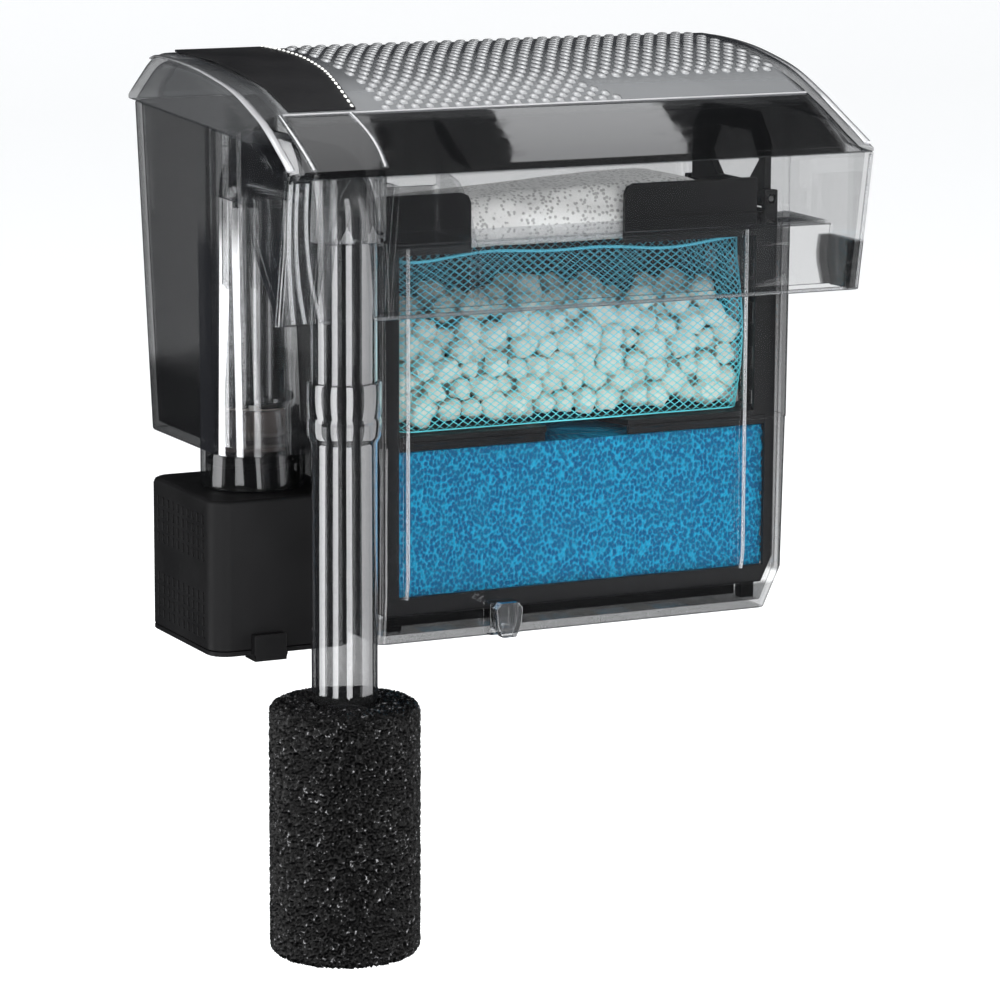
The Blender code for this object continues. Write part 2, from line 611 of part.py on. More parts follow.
def coil_winding():
    copper = material("coil_copper", (0.72, 0.32, 0.14), 0.3, metallic=1.0)
    outer = prism("coil_winding", rounded_rectangle(76.5, 93.8, -138.7, -109.3, 3.0), "X", -103.4, -83.6,
                  copper)
    inner = prism("coil_hole", rounded_rectangle(78.5, 91.7, -135.7, -112.3, 0.5), "X", -110.0, -78.0,
                  copper)
    return cut(outer, inner)


def potting_resin():
    resin = material("potting_resin", (0.03, 0.03, 0.03), 0.3)
    return prism("potting_resin", motor_footprint(MOTOR_WALL + EPS), "Z", -158.4, -143.2, resin)


def cord_gland():
    """The inlet ring where the mains lead enters the back of the housing."""
    rubber = material("gland_rubber", (0.02, 0.02, 0.02), 0.7)
    y0 = MOTOR_Y1 + EPS
    profile = [(CORD_BORE, y0), (7.0, y0), (7.0, y0 + 2.0), (6.0, y0 + 6.0), (CORD_BORE, y0 + 6.0)]
    return lathe("cord_gland", profile, CORD_INLET, rubber, axis="Y", segments=20)


def well_seal_ring():
    rubber = material("seal_rubber", (0.02, 0.02, 0.02), 0.6)
    section = []
    for k in range(10):
        a = 2 * math.pi * k / 10
        section.append((17.2 + 0.95 * math.cos(a), -90.0 + 0.95 * math.sin(a)))
    return lathe("well_seal_ring", section, (TUBE_X, WELL_Y), rubber, segments=36)


def rotor_parts():
    """The magnet, the impeller moulded on its neck, the fixed shaft and its bearings."""
    centre = (TUBE_X, WELL_Y)
    pivot = (TUBE_X, WELL_Y, 0.0)
    bore = 1.9
    ferrite = material("rotor_ferrite", (0.06, 0.06, 0.065), 0.45, metallic=0.3)
    white = material("impeller_white", (0.82, 0.76, 0.73), 0.4)
    ceramic = material("shaft_ceramic", (0.85, 0.85, 0.83), 0.2)
    rubber = material("bush_rubber", (0.02, 0.02, 0.02), 0.7)
    lathe("rotor_magnet", [(bore, -136.0), (11.6, -136.0), (11.6, -97.0), (bore, -97.0)], centre, ferrite,
          segments=28, origin=pivot)
    impeller = lathe("impeller", [(bore, -96.7), (8.0, -96.7), (8.0, -93.5), (4.6, -93.5), (4.6, -79.6),
                                  (13.2, -79.6), (13.2, -78.0), (4.6, -78.0), (4.6, -70.5), (bore, -70.5)],
                     centre, white, segments=24, origin=pivot)
    blades = []
    for k in range(6):
        blade = box("blade", (3.5, 13.6), (-0.8, 0.8), (-78.6, -70.8), white)
        blade.data.transform(Matrix.Rotation(math.radians(60.0 * k), 4, "Z"))
        blade.data.transform(Matrix.Translation(Vector(pivot) * MM))
        blades.append(blade)
    add(impeller, *blades)
    cut(impeller, lathe("impeller_bore", [(0.0, -100.0), (bore, -100.0), (bore, -69.0), (0.0, -69.0)],
                        centre, white, segments=24))
    lathe("rotor_shaft", [(0.0, -139.0), (1.5, -139.0), (1.5, -68.6), (0.0, -68.6)], centre, ceramic,
          segments=16, origin=pivot)
    lathe("lower_bush", [(1.8, -139.7), (6.0, -139.7), (6.0, -137.4), (1.8, -137.4)], centre, rubber,
          segments=20, origin=pivot)
    lathe("thrust_washer", [(1.8, -137.1), (4.5, -137.1), (4.5, -136.3), (1.8, -136.3)], centre,
          material("washer_ptfe", (0.85, 0.85, 0.82), 0.4), segments=20, origin=pivot)


# ---------------------------------------------------------------- media basket
def basket_frame():
    black = black_plastic()
    x, y = (BASKET_X0, BASKET_X1), (BASKET_Y0, BASKET_Y1)
    basket = box("media_basket", x, y, (BASKET_FOOT_Z, BASKET_TOP_Z), black,
                 origin=(BASKET_X0, BASKET_Y0, BASKET_FOOT_Z))
    inside = box("basket_inside", (x[0] + BASKET_WALL, x[1] - BASKET_WALL),
                 (y[0] + BASKET_WALL, y[1] - BASKET_WALL), (-144.2, 50.0), black)
    under = box("basket_under", (x[0] + 6.0, x[1] - 6.0), (y[0] + 4.0, y[1] - 4.0), (-160.0, -146.6), black)
    lower_window = box("lower_window", (-49.4, 112.8), (0.0, 21.0), (-141.8, SHELF_Z), black)
    upper_window = box("upper_window", (-49.4, 107.6), (0.0, 21.0), (SHELF_Z + 2.4, -7.5), black)
    notch_outline = rounded_rectangle(BASKET_NOTCH_X0, BASKET_NOTCH_X1, -20.0, 20.0, 5.0)
    notch = prism("rail_notch", notch_outline, "Y", 0.0, 21.0, black)
    corner_outline = [(111.5, -150.0), (125.0, -150.0), (125.0, -136.0), (BASKET_X1 + 1.0, -136.0)]
    corner = prism("basket_corner", corner_outline, "Y", 0.0, 100.0, black)
    gap = box("shelf_gap", (14.6, 50.5), (0.0, 21.0), (SHELF_Z - 5.0, SHELF_Z + 5.0), black)
    cut(basket, inside, under, lower_window, upper_window, notch, corner, gap)
    return basket


def basket_shelf(basket):
    """Two ledges inside the front, with a gap between them, and a matching ledge at the back."""
    black = black_plastic()
    low, high = SHELF_Z, SHELF_Z + 2.4
    left_outline = [(-54.6, 18.8), (14.6, 18.8), (12.0, 40.0), (-54.6, 40.0)]
    right_outline = [(50.5, 18.8), (116.4, 18.8), (116.4, 40.0), (42.0, 40.0)]
    left = prism("shelf_left", left_outline, "Z", low, high, black)
    right = prism("shelf_right", right_outline, "Z", low, high, black)
    front_left = box("shelf_front_left", (-54.8, 14.0), (18.4, 20.4), (low - 3.6, high), black)
    front_right = box("shelf_front_right", (51.0, 116.6), (18.4, 20.4), (low - 3.6, high), black)
    rear = box("shelf_rear", (-54.6, 116.4), (72.0, 84.6), (low, high), black)
    return add(basket, left, right, front_left, front_right, rear)


def basket_slots(basket):
    """Rows of flow slots in the side walls and the floor."""
    black = black_plastic()
    for row in range(7):
        z = -136.0 + 18.0 * row
        for column in range(3):
            y = 25.0 + 20.0 * column
            slot = box("side_slot", (BASKET_X1 - 3.0, BASKET_X1 + 1.0), (y, y + 12.0), (z, z + 9.0), black)
            cut(basket, slot)
    for column in range(6):
        x = -47.0 + 26.5 * column
        slot = box("floor_slot", (x, x + 20.0), (28.0, 76.0), (-148.0, -140.0), black)
        cut(basket, slot)
    return basket


def basket_rails(basket):
    """Two raised rails along the front, one on each side of the notch, rounded at the notch."""
    black, top = black_plastic(), BASKET_RAIL_Z
    for end, inner, side in ((-54.9, BASKET_NOTCH_X0, 1.0), (108.0, BASKET_NOTCH_X1, -1.0)):
        outline = [(end, -6.0), (inner, -6.0), (inner, top - 4.0), (inner - side * 1.2, top - 1.2),
                   (inner - side * 4.0, top), (end, top)]
        add(basket, prism("basket_rail", outline, "Y", 18.3, 20.3, black))
    return basket


def basket_skirt(basket):
    """A shallow skirt that carries the front wall down to the feet."""
    skirt = box("basket_skirt", (-54.0, 100.0), (18.4, 20.4), (-153.0, -146.0), black_plastic())
    return add(basket, skirt)


def basket_lugs(basket):
    """Bearing lugs at the top of the right wall, which carry the handle's two pins, and feet."""
    black = black_plastic()
    for y0, y1 in ((BASKET_Y0, BASKET_Y0 + 3.0), (BASKET_Y1 - 3.0, BASKET_Y1)):
        lug = box("handle_lug", (111.4, BASKET_X1), (y0, y1), (-4.0, HANDLE_PIVOT_Z + 3.6), black)
        hole = lathe("lug_hole", [(0.0, y0 - 2.0), (1.9, y0 - 2.0), (1.9, y1 + 2.0), (0.0, y1 + 2.0)],
                     (HANDLE_PIVOT_X, HANDLE_PIVOT_Z), black, axis="Y", segments=16)
        add(basket, lug)
        cut(basket, hole)
    for x in (BASKET_X0 + 2.0, 104.0):
        for y in (BASKET_Y0 + 2.0, BASKET_Y1 - 8.0):
            add(basket, box("basket_foot", (x, x + 6.0), (y, y + 5.0), (-155.5, -148.0), black))
    return basket


def media_basket():
    basket = basket_frame()
    basket_shelf(basket)
    basket_slots(basket)
    basket_rails(basket)
    basket_skirt(basket)
    return basket_lugs(basket)


def basket_handle():
    """A plate with a six-sided finger hole, hinged along the basket's right edge."""
    black = black_plastic()
    y0, y1 = BASKET_Y0 + 3.4, BASKET_Y1 - 3.4
    outline = [(y0, 3.4), (y1, 3.4), (y1, 30.0), (y1 - 9.0, 41.0), (y0 + 9.0, 41.0), (y0, 30.0)]
    pivot = (HANDLE_PIVOT_X, BASKET_Y0, HANDLE_PIVOT_Z)
    plate = prism("basket_handle", outline, "X", 112.8, 116.0, black, origin=pivot)
    hole_outline = [(35.0, 12.6), (60.0, 12.6), (69.0, 22.0), (62.0, 33.0), (33.0, 33.0), (26.0, 22.0)]
    hole = prism("finger_hole", hole_outline, "X", 100.0, 130.0, black)
    cut(plate, hole)
    hinge_line = (HANDLE_PIVOT_X, HANDLE_PIVOT_Z)
    hub = lathe("handle_hub", [(0.0, y0), (3.1, y0), (3.1, y1), (0.0, y1)], hinge_line, black,
                axis="Y", segments=20)
    add(plate, hub)
    for end in (y0, y1):
        low, high = end - 6.5, end + 6.5
        socket = lathe("pin_socket", [(0.0, low), (1.5, low), (1.5, high), (0.0, high)], hinge_line, black,
                       axis="Y", segments=16)
        cut(plate, socket)
    nylon = material("pin_nylon", (0.05, 0.05, 0.05), 0.35)
    for name, y, sign in (("handle_pin_front", BASKET_Y0, 1.0), ("handle_pin_back", BASKET_Y1, -1.0)):
        low, high = sorted((y + sign * 0.3, y + sign * 8.8))
        lathe(name, [(0.0, low), (1.2, low), (1.2, high), (0.0, high)], hinge_line, nylon, axis="Y",
              segments=14, origin=pivot)
    return plate


def filter_media():
    """Foam below the shelf; above it the mesh bag of ceramic media, and the carbon pouch."""
    foam = material("foam_blue", (0.01, 0.28, 0.62), 0.9)
    outline = rounded_rectangle(-53.0, 114.6, 21.4, 83.0, 3.0, steps=2)
    prism("foam_block", outline, "Z", -143.9, -84.6, foam)
    mesh_blue = material("bag_mesh", (0.05, 0.45, 0.58), 0.7)
    bag = prism("media_bag", media_outline(0.0, 8.0), "Z", -77.6, -8.0, mesh_blue)
    cut(bag, prism("bag_inside", media_outline(1.2, 7.0), "Z", -76.4, 0.0, mesh_blue))
    ceramic = material("ceramic_media", (0.78, 0.80, 0.70), 0.85)
    prism("ceramic_media", media_outline(2.0, 6.0), "Z", -75.6, -14.0, ceramic)
    fleece = material("pouch_fleece", (0.86, 0.86, 0.85), 0.9)
    pouch = rounded_rectangle(-50.0, 92.0, 22.5, 82.0, 10.0, steps=3)
    prism("carbon_pouch", pouch, "Z", -7.5, 17.0, fleece)


def media_outline(inset, radius):
    """The mesh bag's footprint in the basket, or one inset from it."""
    return rounded_rectangle(-49.0 + inset, 107.0 - inset, 21.4 + inset, 82.0 - inset, radius, steps=3)


# ---------------------------------------------------------------- build
def build():
    clear_scene()
    filter_case()
    levelling_foot()
    lid()
    lid_label()
    intake_u_tube()
    intake_extension_tube()
    intake_strainer()
    prefilter_sponge()
    motor_housing()
    motor_bottom_cover()
    stator_core()
    coil_bobbin()
    coil_winding()
    potting_resin()
    cord_gland()
    well_seal_ring()
    rotor_parts()
    media_basket()
    basket_handle()
    filter_media()


build()
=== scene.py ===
"""Looks of the hang-on-back aquarium filter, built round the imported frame. Metres, +Z up."""
import bisect
import math
import random

import bmesh
import bpy
import numpy as np
from mathutils import Matrix, Vector, kdtree, noise


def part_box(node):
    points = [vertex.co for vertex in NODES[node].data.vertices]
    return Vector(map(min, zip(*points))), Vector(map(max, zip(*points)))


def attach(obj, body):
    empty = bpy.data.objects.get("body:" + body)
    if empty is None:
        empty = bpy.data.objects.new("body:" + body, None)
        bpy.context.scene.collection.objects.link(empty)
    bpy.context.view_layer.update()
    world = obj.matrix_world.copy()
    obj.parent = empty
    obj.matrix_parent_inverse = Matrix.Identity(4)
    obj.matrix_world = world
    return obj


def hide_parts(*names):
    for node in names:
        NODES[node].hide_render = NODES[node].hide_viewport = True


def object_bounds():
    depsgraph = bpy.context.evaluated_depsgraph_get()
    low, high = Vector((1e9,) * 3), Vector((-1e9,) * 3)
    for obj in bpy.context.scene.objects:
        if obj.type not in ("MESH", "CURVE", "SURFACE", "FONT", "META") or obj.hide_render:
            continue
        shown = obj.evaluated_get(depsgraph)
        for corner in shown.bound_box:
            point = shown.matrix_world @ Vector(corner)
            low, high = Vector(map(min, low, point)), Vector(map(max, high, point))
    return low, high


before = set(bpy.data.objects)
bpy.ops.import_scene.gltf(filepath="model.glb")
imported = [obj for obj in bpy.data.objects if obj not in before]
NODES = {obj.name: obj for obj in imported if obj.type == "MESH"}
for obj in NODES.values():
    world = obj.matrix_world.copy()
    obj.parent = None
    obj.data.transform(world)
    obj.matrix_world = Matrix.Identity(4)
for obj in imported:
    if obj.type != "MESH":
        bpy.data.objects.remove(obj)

CAD_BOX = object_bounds()
MM = 0.001


def placed(name, data):
    """A new object with that data, in the scene."""
    obj = bpy.data.objects.new(name, data)
    bpy.context.scene.collection.objects.link(obj)
    return obj


def box_mm(node):
    """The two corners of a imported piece's box, in millimetres."""
    return [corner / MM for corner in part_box(node)]


# ---- camera, lights and floor
FLOOR_DROP = 0.115  # the part hangs on a rim, so its sponge has room below it to be pulled off
CAMERA_PLACE = (-0.7690, -1.5396, 0.2217)
CAMERA_AZIMUTH, CAMERA_ELEVATION, CAMERA_ROLL = -26.1, 10.7, 0.24
CAMERA_LENS = 161.7


def make_camera():
    data = bpy.data.cameras.new("camera")
    data.lens = CAMERA_LENS
    data.sensor_width = 36.0
    data.clip_start, data.clip_end = 0.05, 60.0
    camera = placed("camera", data)
    turn = Matrix.Rotation(math.radians(CAMERA_AZIMUTH), 4, "Z")
    tilt = Matrix.Rotation(math.radians(90.0 - CAMERA_ELEVATION), 4, "X")
    roll = Matrix.Rotation(math.radians(CAMERA_ROLL), 4, "Z")
    camera.matrix_world = Matrix.Translation(CAMERA_PLACE) @ turn @ tilt @ roll
    bpy.context.scene.camera = camera


def area_light(name, place, target, width, height, radiance, spin=None):
    """A soft box facing a target, or straight down and turned by spin degrees.

    radiance is how bright its face looks, white paper being 1."""
    data = bpy.data.lights.new(name, "AREA")
    data.shape = "RECTANGLE"
    data.size, data.size_y = width, height
    data.energy = radiance * math.pi * width * height
    light = placed(name, data)
    if spin is None:
        aim = (Vector(target) - Vector(place)).to_track_quat("-Z", "Y").to_matrix().to_4x4()
    else:
        aim = Matrix.Rotation(math.radians(spin), 4, "Z")
    light.matrix_world = Matrix.Translation(place) @ aim
    light.visible_camera = False
    return light


def make_world():
    """Even white for what is lit and seen; darker in reflections, so that soft boxes stand out."""
    world = bpy.data.worlds.new("studio")
    bpy.context.scene.world = world
    world.use_nodes = True
    nodes, links = world.node_tree.nodes, world.node_tree.links
    background = nodes["Background"]
    path = nodes.new("ShaderNodeLightPath")
    mix = nodes.new("ShaderNodeMix")
    mix.data_type = "RGBA"
    mix.inputs["A"].default_value = (0.90, 0.91, 0.92, 1.0)
    mix.inputs["B"].default_value = (0.022, 0.023, 0.026, 1.0)
    links.new(path.outputs["Is Glossy Ray"], mix.inputs["Factor"])
    links.new(mix.outputs["Result"], background.inputs["Color"])


def make_floor(height):
    mesh = bpy.data.meshes.new("floor")
    half, rise, steps = 9.0, 5.0, 16
    rows = [(-half, 0.0)]
    for k in range(steps + 1):
        a = math.pi / 2 * k / steps
        rows.append((half - rise + rise * math.sin(a), rise - rise * math.cos(a)))
    points = [(x, y, height + z) for y, z in rows for x in (-half, half)]
    faces = [(2 * i, 2 * i + 1, 2 * i + 3, 2 * i + 2) for i in range(len(rows) - 1)]
    mesh.from_pydata(points, [], faces)
    mesh.shade_smooth()
    floor = placed("floor", mesh)
    p = Painter("floor", (0.93, 0.935, 0.94), 0.7,
                **{"Specular IOR Level": 0.1, "Emission Color": (1.0, 1.0, 1.0), "Emission Strength": 0.14})
    reflected = p.add("LightPath").outputs["Is Glossy Ray"]
    surface = p.mix_shader(reflected, p.shader.outputs[0], p.add("BsdfTransparent").outputs[0])
    mesh.materials.append(p.finish(surface))


# ---- materials
def scaled(colour, factor):
    return tuple(min(1.0, factor * c) for c in colour)


class Painter:
    """Builds one node material round its Principled shader."""

    def __init__(self, name, colour, roughness, **values):
        self.material = bpy.data.materials.new(name)
        self.material.use_nodes = True
        self.tree = self.material.node_tree
        self.shader = self.tree.nodes["Principled BSDF"]
        self.output = self.tree.nodes["Material Output"]
        self.place = self.add("TexCoord").outputs["Object"]
        self.set(self.shader, {"Base Color": colour, "Roughness": roughness, **values})

    def plug(self, socket, value):
        if isinstance(value, bpy.types.NodeSocket):
            self.tree.links.new(value, socket)
        elif isinstance(value, (tuple, list)) and socket.type == "RGBA":
            socket.default_value = (*value[:3], 1.0)
        else:
            socket.default_value = value

    def set(self, node, inputs):
        for key, value in inputs.items():
            self.plug(node.inputs[key], value)

    def add(self, kind, inputs=None, **props):
        node = self.tree.nodes.new("ShaderNode" + kind)
        for key, value in props.items():
            setattr(node, key, value)
        self.set(node, inputs or {})
        return node

    def stretched(self, stretch):
        return self.add("Mapping", {"Vector": self.place, "Scale": stretch}).outputs[0]

    def noise(self, size_mm, detail=3.0, stretch=(1.0, 1.0, 1.0), roughness=0.55):
        """Soft noise from 0 to 1 whose blotches are about that many millimetres across."""
        node = self.add("TexNoise", {"Vector": self.stretched(stretch), "Scale": 1000.0 / size_mm,
                                     "Detail": detail, "Roughness": roughness})
        return node.outputs["Fac"]

    def cells(self, size_mm):
        """Distance to the middle of the nearest cell of that size."""
        inputs = {"Vector": self.stretched((1.0, 1.0, 1.0)), "Scale": 1000.0 / size_mm}
        return self.add("TexVoronoi", inputs).outputs["Distance"]

    def feed(self, node, values):
        """Fills a node's inputs in order and gives its output."""
        for socket, value in zip(node.inputs, values):
            self.plug(socket, value)
        return node.outputs[0]

    def math(self, operation, *values):
        return self.feed(self.add("Math", operation=operation), values)

    def product(self, first, *others):
        for other in others:
            first = self.math("MULTIPLY", first, other)
        return first

    def between(self, value, low, high, to_low=0.0, to_high=1.0):
        """Goes smoothly from to_low to to_high as the value goes from low to high."""
        inputs = {"Value": value, "From Min": low, "From Max": high, "To Min": to_low, "To Max": to_high}
        return self.add("MapRange", inputs, interpolation_type="SMOOTHSTEP").outputs["Result"]

    def blend(self, factor, first, second, how="MIX"):
        node = self.add("Mix", data_type="RGBA", blend_type=how)
        for key, value in (("Factor", factor), ("A", first), ("B", second)):
            self.plug(next(s for s in node.inputs if s.name == key and s.enabled), value)
        return node.outputs["Result"]

    def bump(self, height, depth_mm, strength=1.0, normal=None):
        node = self.add("Bump", {"Height": height, "Strength": strength, "Distance": depth_mm * MM})
        if normal is not None:
            self.plug(node.inputs["Normal"], normal)
        return node.outputs["Normal"]

    def axis(self, name):
        return self.add("SeparateXYZ", {"Vector": self.place}).outputs[name]

    def attribute(self, name):
        return self.add("Attribute", attribute_name=name).outputs["Fac"]

    def mix_shader(self, factor, first, second):
        return self.feed(self.add("MixShader"), (factor, first, second))

    def paint(self, inputs):
        self.set(self.shader, inputs)
        return self.finish()

    def finish(self, surface=None):
        if surface is not None:
            self.tree.links.new(surface, self.output.inputs["Surface"])
        return self.material


def clear_plastic(name, tint=0.985, rim=0.4, haze=0.004, gloss=1.5, roughness=0.02, painted_shade=None, cloud=None,
                  ripple=0.0, haze_colour=(0.72, 0.74, 0.76), falloff=3.0, thick=None):
    """Thin clear moulded plastic: see-through with a darker rim, faint haze and a sharp gloss.

    smoke, cloud and thick take the painter. smoke gives a factor that darkens what shows through by place:
    painted shade and dark reflection, not a tint of the plastic. cloud gives the share of white haze, in
    place of haze, and thick gives more gloss."""
    p = Painter(name, haze_colour, 0.35)
    normal = p.bump(p.noise(38.0, 1.5), 0.35, ripple)
    facing = p.add("LayerWeight", {"Blend": 0.5, "Normal": normal}).outputs["Facing"]
    grazing = p.math("POWER", facing, falloff)
    through = p.blend(grazing, (tint, tint, tint), (rim, 1.02 * rim, 1.04 * rim))
    # smoke darkens what shows through by place: painted shade and dark reflection
    if painted_shade is not None:
        grey = p.add("CombineColor", dict.fromkeys(("Red", "Green", "Blue"), painted_shade(p)))
        through = p.blend(1.0, through, grey.outputs[0], "MULTIPLY")
    clear = p.add("BsdfTransparent", {"Color": through}).outputs[0]
    specks = p.math("MULTIPLY", p.between(p.noise(1.1, 5.0), 0.62, 0.80), 0.015)
    veil = p.math("ADD", haze if cloud is None else cloud(p), specks)
    body = p.mix_shader(veil, clear, p.shader.outputs[0])
    scuff = p.between(p.noise(9.0, 6.0, (1.0, 1.0, 4.0)), 0.45, 0.85, roughness, roughness + 0.07)
    shine = p.add("BsdfGlossy", {"Color": (0.97, 0.98, 1.0), "Roughness": scuff, "Normal": normal}).outputs[0]
    mirror = p.math("MULTIPLY_ADD", p.math("POWER", facing, 5.0), 0.9, 0.045)
    mirror = p.math("MULTIPLY", mirror, gloss if thick is None else thick(p, gloss))
    share = p.math("MINIMUM", mirror, 0.9)
    return p.finish(p.mix_shader(share, body, shine))


def black_plastic(name, colour=(0.0035, 0.0035, 0.004), roughness=0.42, grain=0.35, shine=0.3):
    """Black moulded plastic with a fine spark-eroded grain and handling marks."""
    p = Painter(name, colour, roughness, **{"Specular IOR Level": shine})
    fine = p.noise(grain, 2.0)
    smear = p.noise(24.0, 4.0)
    return p.paint({
        "Base Color": p.blend(smear, scaled(colour, 0.75), scaled(colour, 1.6)),
        "Roughness": p.between(smear, 0.3, 0.7, roughness - 0.06, roughness + 0.10),
        "Normal": p.bump(p.noise(1.6, 3.0), 0.02, 0.5, p.bump(fine, 0.03, 0.5))})


def rubber(name):
    p = Painter(name, (0.014, 0.014, 0.015), 0.6)
    return p.paint({"Normal": p.bump(p.noise(0.5, 3.0), 0.03, 0.6),
                     "Roughness": p.between(p.noise(6.0), 0.3, 0.7, 0.5, 0.75)})


def open_foam(name, pit, strand, roughness, cell_mm, shine, glint=None):
    """Open-cell foam: the mesh stores how high each point stands, from pit 0 to strand 1.
    The darker pit colour on low points is painted shade in the cells; glint is a painted highlight on crests.
    """
    p = Painter(name, strand, roughness, **{"Specular IOR Level": shine})
    height = p.attribute("strand")
    # pits take the darker pit colour: painted shade in the open cells
    depth = p.between(height, 0.15, 1.0)
    vary = p.between(p.noise(cell_mm * 4.0, 3.0), 0.35, 0.65, 0.0, 0.30)
    body = p.blend(vary, p.blend(depth, pit, strand), scaled(strand, 0.55))
    if glint is not None:
        # painted highlight: the glint colour is laid on the strand crests in noise patches
        glint_patches = p.between(p.noise(cell_mm * 0.9, 3.0, roughness=0.75), 0.55, 0.66)
        crest = p.between(height, 0.75, 1.0)
        body = p.blend(p.math("MULTIPLY", glint_patches, crest), body, glint)
    return p.paint({"Base Color": body, "Normal": p.bump(p.cells(cell_mm * 0.45), cell_mm * 0.12, 0.6)})


def net_thread(name):
    p = Painter(name, (0.04, 0.50, 0.66), 0.42)
    height = p.axis("Z")
    twist_and_painted_highlight = p.noise(0.5, 2.0, (1.0, 1.0, 2.5))
    warm = p.between(height, -0.075, -0.015)
    colour = p.blend(warm, (0.055, 0.54, 0.57), (0.040, 0.42, 0.70))
    # The lighter (0.16, 0.72, 0.84) blended in by the twist noise is a painted highlight; the same noise
    # bumps the thread.
    return p.paint({"Base Color": p.blend(twist_and_painted_highlight, colour, (0.16, 0.72, 0.84)),
                     "Normal": p.bump(twist_and_painted_highlight, 0.05, 0.7)})


def ceramic_grains(name):
    p = Painter(name, (0.74, 0.78, 0.66), 0.8)
    pores = p.between(p.cells(0.9), 0.0, 0.42)
    patch = p.noise(7.0, 4.0)
    body = p.blend(patch, (0.56, 0.55, 0.48), (0.70, 0.68, 0.62))
    # The pores are darkened towards (0.27, 0.27, 0.22): painted shade in the pores.
    return p.paint({"Base Color": p.blend(p.between(pores, 0.0, 0.5, 0.30, 0.0), body, (0.27, 0.27, 0.22)),
                     "Normal": p.bump(pores, 0.22, 0.8, p.bump(p.noise(1.4, 4.0), 0.3, 0.7))})


def fleece(name):
    """White spun fleece with many small punched dots."""
    p = Painter(name, (0.88, 0.88, 0.87), 0.9, **{"Sheen Weight": 0.25})
    fibres = p.noise(0.7, 5.0, (1.0, 3.0, 1.0))
    dot = p.between(p.cells(1.9), 0.30, 0.42, 1.0, 0.0)
    body = p.blend(p.noise(5.0, 3.0), (0.90, 0.90, 0.89), (0.99, 0.99, 0.98))
    normal = p.bump(fibres, 0.12, 0.6, p.bump(p.math("MULTIPLY", dot, -1.0), 0.25, 0.8))
    return p.paint({"Base Color": p.blend(p.math("MULTIPLY", dot, 0.50), body, (0.16, 0.16, 0.16)),
                     "Normal": normal})


def moulded(name, colour, roughness=0.4):
    p = Painter(name, colour, roughness)
    cloud = p.noise(5.0, 4.0)
    return p.paint({"Base Color": p.blend(cloud, scaled(colour, 0.86), scaled(colour, 1.06)),
                     "Roughness": p.between(cloud, 0.3, 0.7, roughness - 0.05, roughness + 0.12),
                     "Normal": p.bump(p.noise(0.5, 3.0), 0.02, 0.5)})


def banded_metal(name, colour, roughness, bands, rough_edge, direction):
    """Polished metal with fine ridges: returns the painter and the ridges."""
    p = Painter(name, colour, roughness, Metallic=1.0)
    wave = p.add("TexWave", {"Vector": p.place, "Scale": bands, "Distortion": rough_edge},
                 bands_direction=direction)
    return p, wave.outputs["Fac"]


def laminated_steel(name):
    p, sheets = banded_metal(name, (0.30, 0.30, 0.32), 0.38, 320.0, 0.4, "Z")
    rust = p.between(p.noise(4.0, 5.0), 0.58, 0.72)
    return p.paint({"Base Color": p.blend(rust, (0.32, 0.32, 0.34), (0.20, 0.11, 0.06)),
                     "Normal": p.bump(sheets, 0.12, 0.9)})


def copper_wire(name):
    p, turns = banded_metal(name, (0.62, 0.24, 0.09), 0.28, 480.0, 0.3, "X")
    # The dark phase of the turns bands, in the grooves between turns, is painted shade.
    return p.paint({"Base Color": p.blend(turns, (0.30, 0.10, 0.04), (0.78, 0.34, 0.14)),
                     "Normal": p.bump(turns, 0.15, 1.0)})


def case_painted_shade(p):
    """Painted shade and dark reflection: how much each wall of the case dims what shows through it, told
    apart by place: least in front, most at the back and foot of the motor chamber."""
    x, y, z = p.axis("X"), p.axis("Y"), p.axis("Z")

    def dims(share, *where):
        return p.math("SUBTRACT", 1.0, p.math("MULTIPLY", p.product(*where), 1.0 - share))

    def above(value, limit, fade=0.0010):
        return p.between(value, limit, limit + fade)

    def below(value, limit, fade=0.0010):
        return p.between(value, limit - fade, limit, 1.0, 0.0)

    behind = p.math("SUBTRACT", y, p.math("MULTIPLY", z, 0.104))  # the back wall leans
    back, front = above(behind, 0.1030), below(y, 0.0175)
    chamber, left, inside = below(x, -0.0605), below(x, -0.1187), above(y, 0.0290)
    back_wall = dims(0.87, back)
    chamber_back = dims(0.50, back, chamber)
    chamber_back_right = dims(0.55, back, chamber, above(x, -0.0850, 0.0060))
    divider = dims(0.28, above(x, -0.0625), below(x, -0.0555), above(y, 0.0310), below(y, 0.1000))
    chamber_front = dims(0.42, above(y, 0.0262, 0.0003), below(y, 0.0310), above(x, -0.1145, 0.0030),
                         below(x, -0.0615), below(z, 0.0120))
    left_wall = dims(0.84, left, inside)
    left_wall_front = dims(0.42, left, inside, below(y, 0.0345, 0.0015))
    chamber_low = dims(0.52, chamber, below(z, -0.0490, 0.0090), above(y, 0.0310))
    right_wall = dims(0.36, above(x, 0.1192), above(y, 0.0175), below(z, -0.0050))
    hood = dims(0.93, below(y, -0.0300))
    front_right_edge = dims(0.30, front, above(x, 0.1172), below(z, -0.0030))
    front_foot = dims(0.50, front, below(z, -0.1475, 0.0020))
    spillway_left = dims(0.70, front, above(y, 0.0080), below(x, -0.0360), above(x, -0.0600),
                         above(z, 0.0010))
    return p.product(back_wall, chamber_back, chamber_back_right, divider, chamber_front, left_wall,
                     left_wall_front, chamber_low, right_wall, hood, front_right_edge, front_foot,
                     spillway_left)


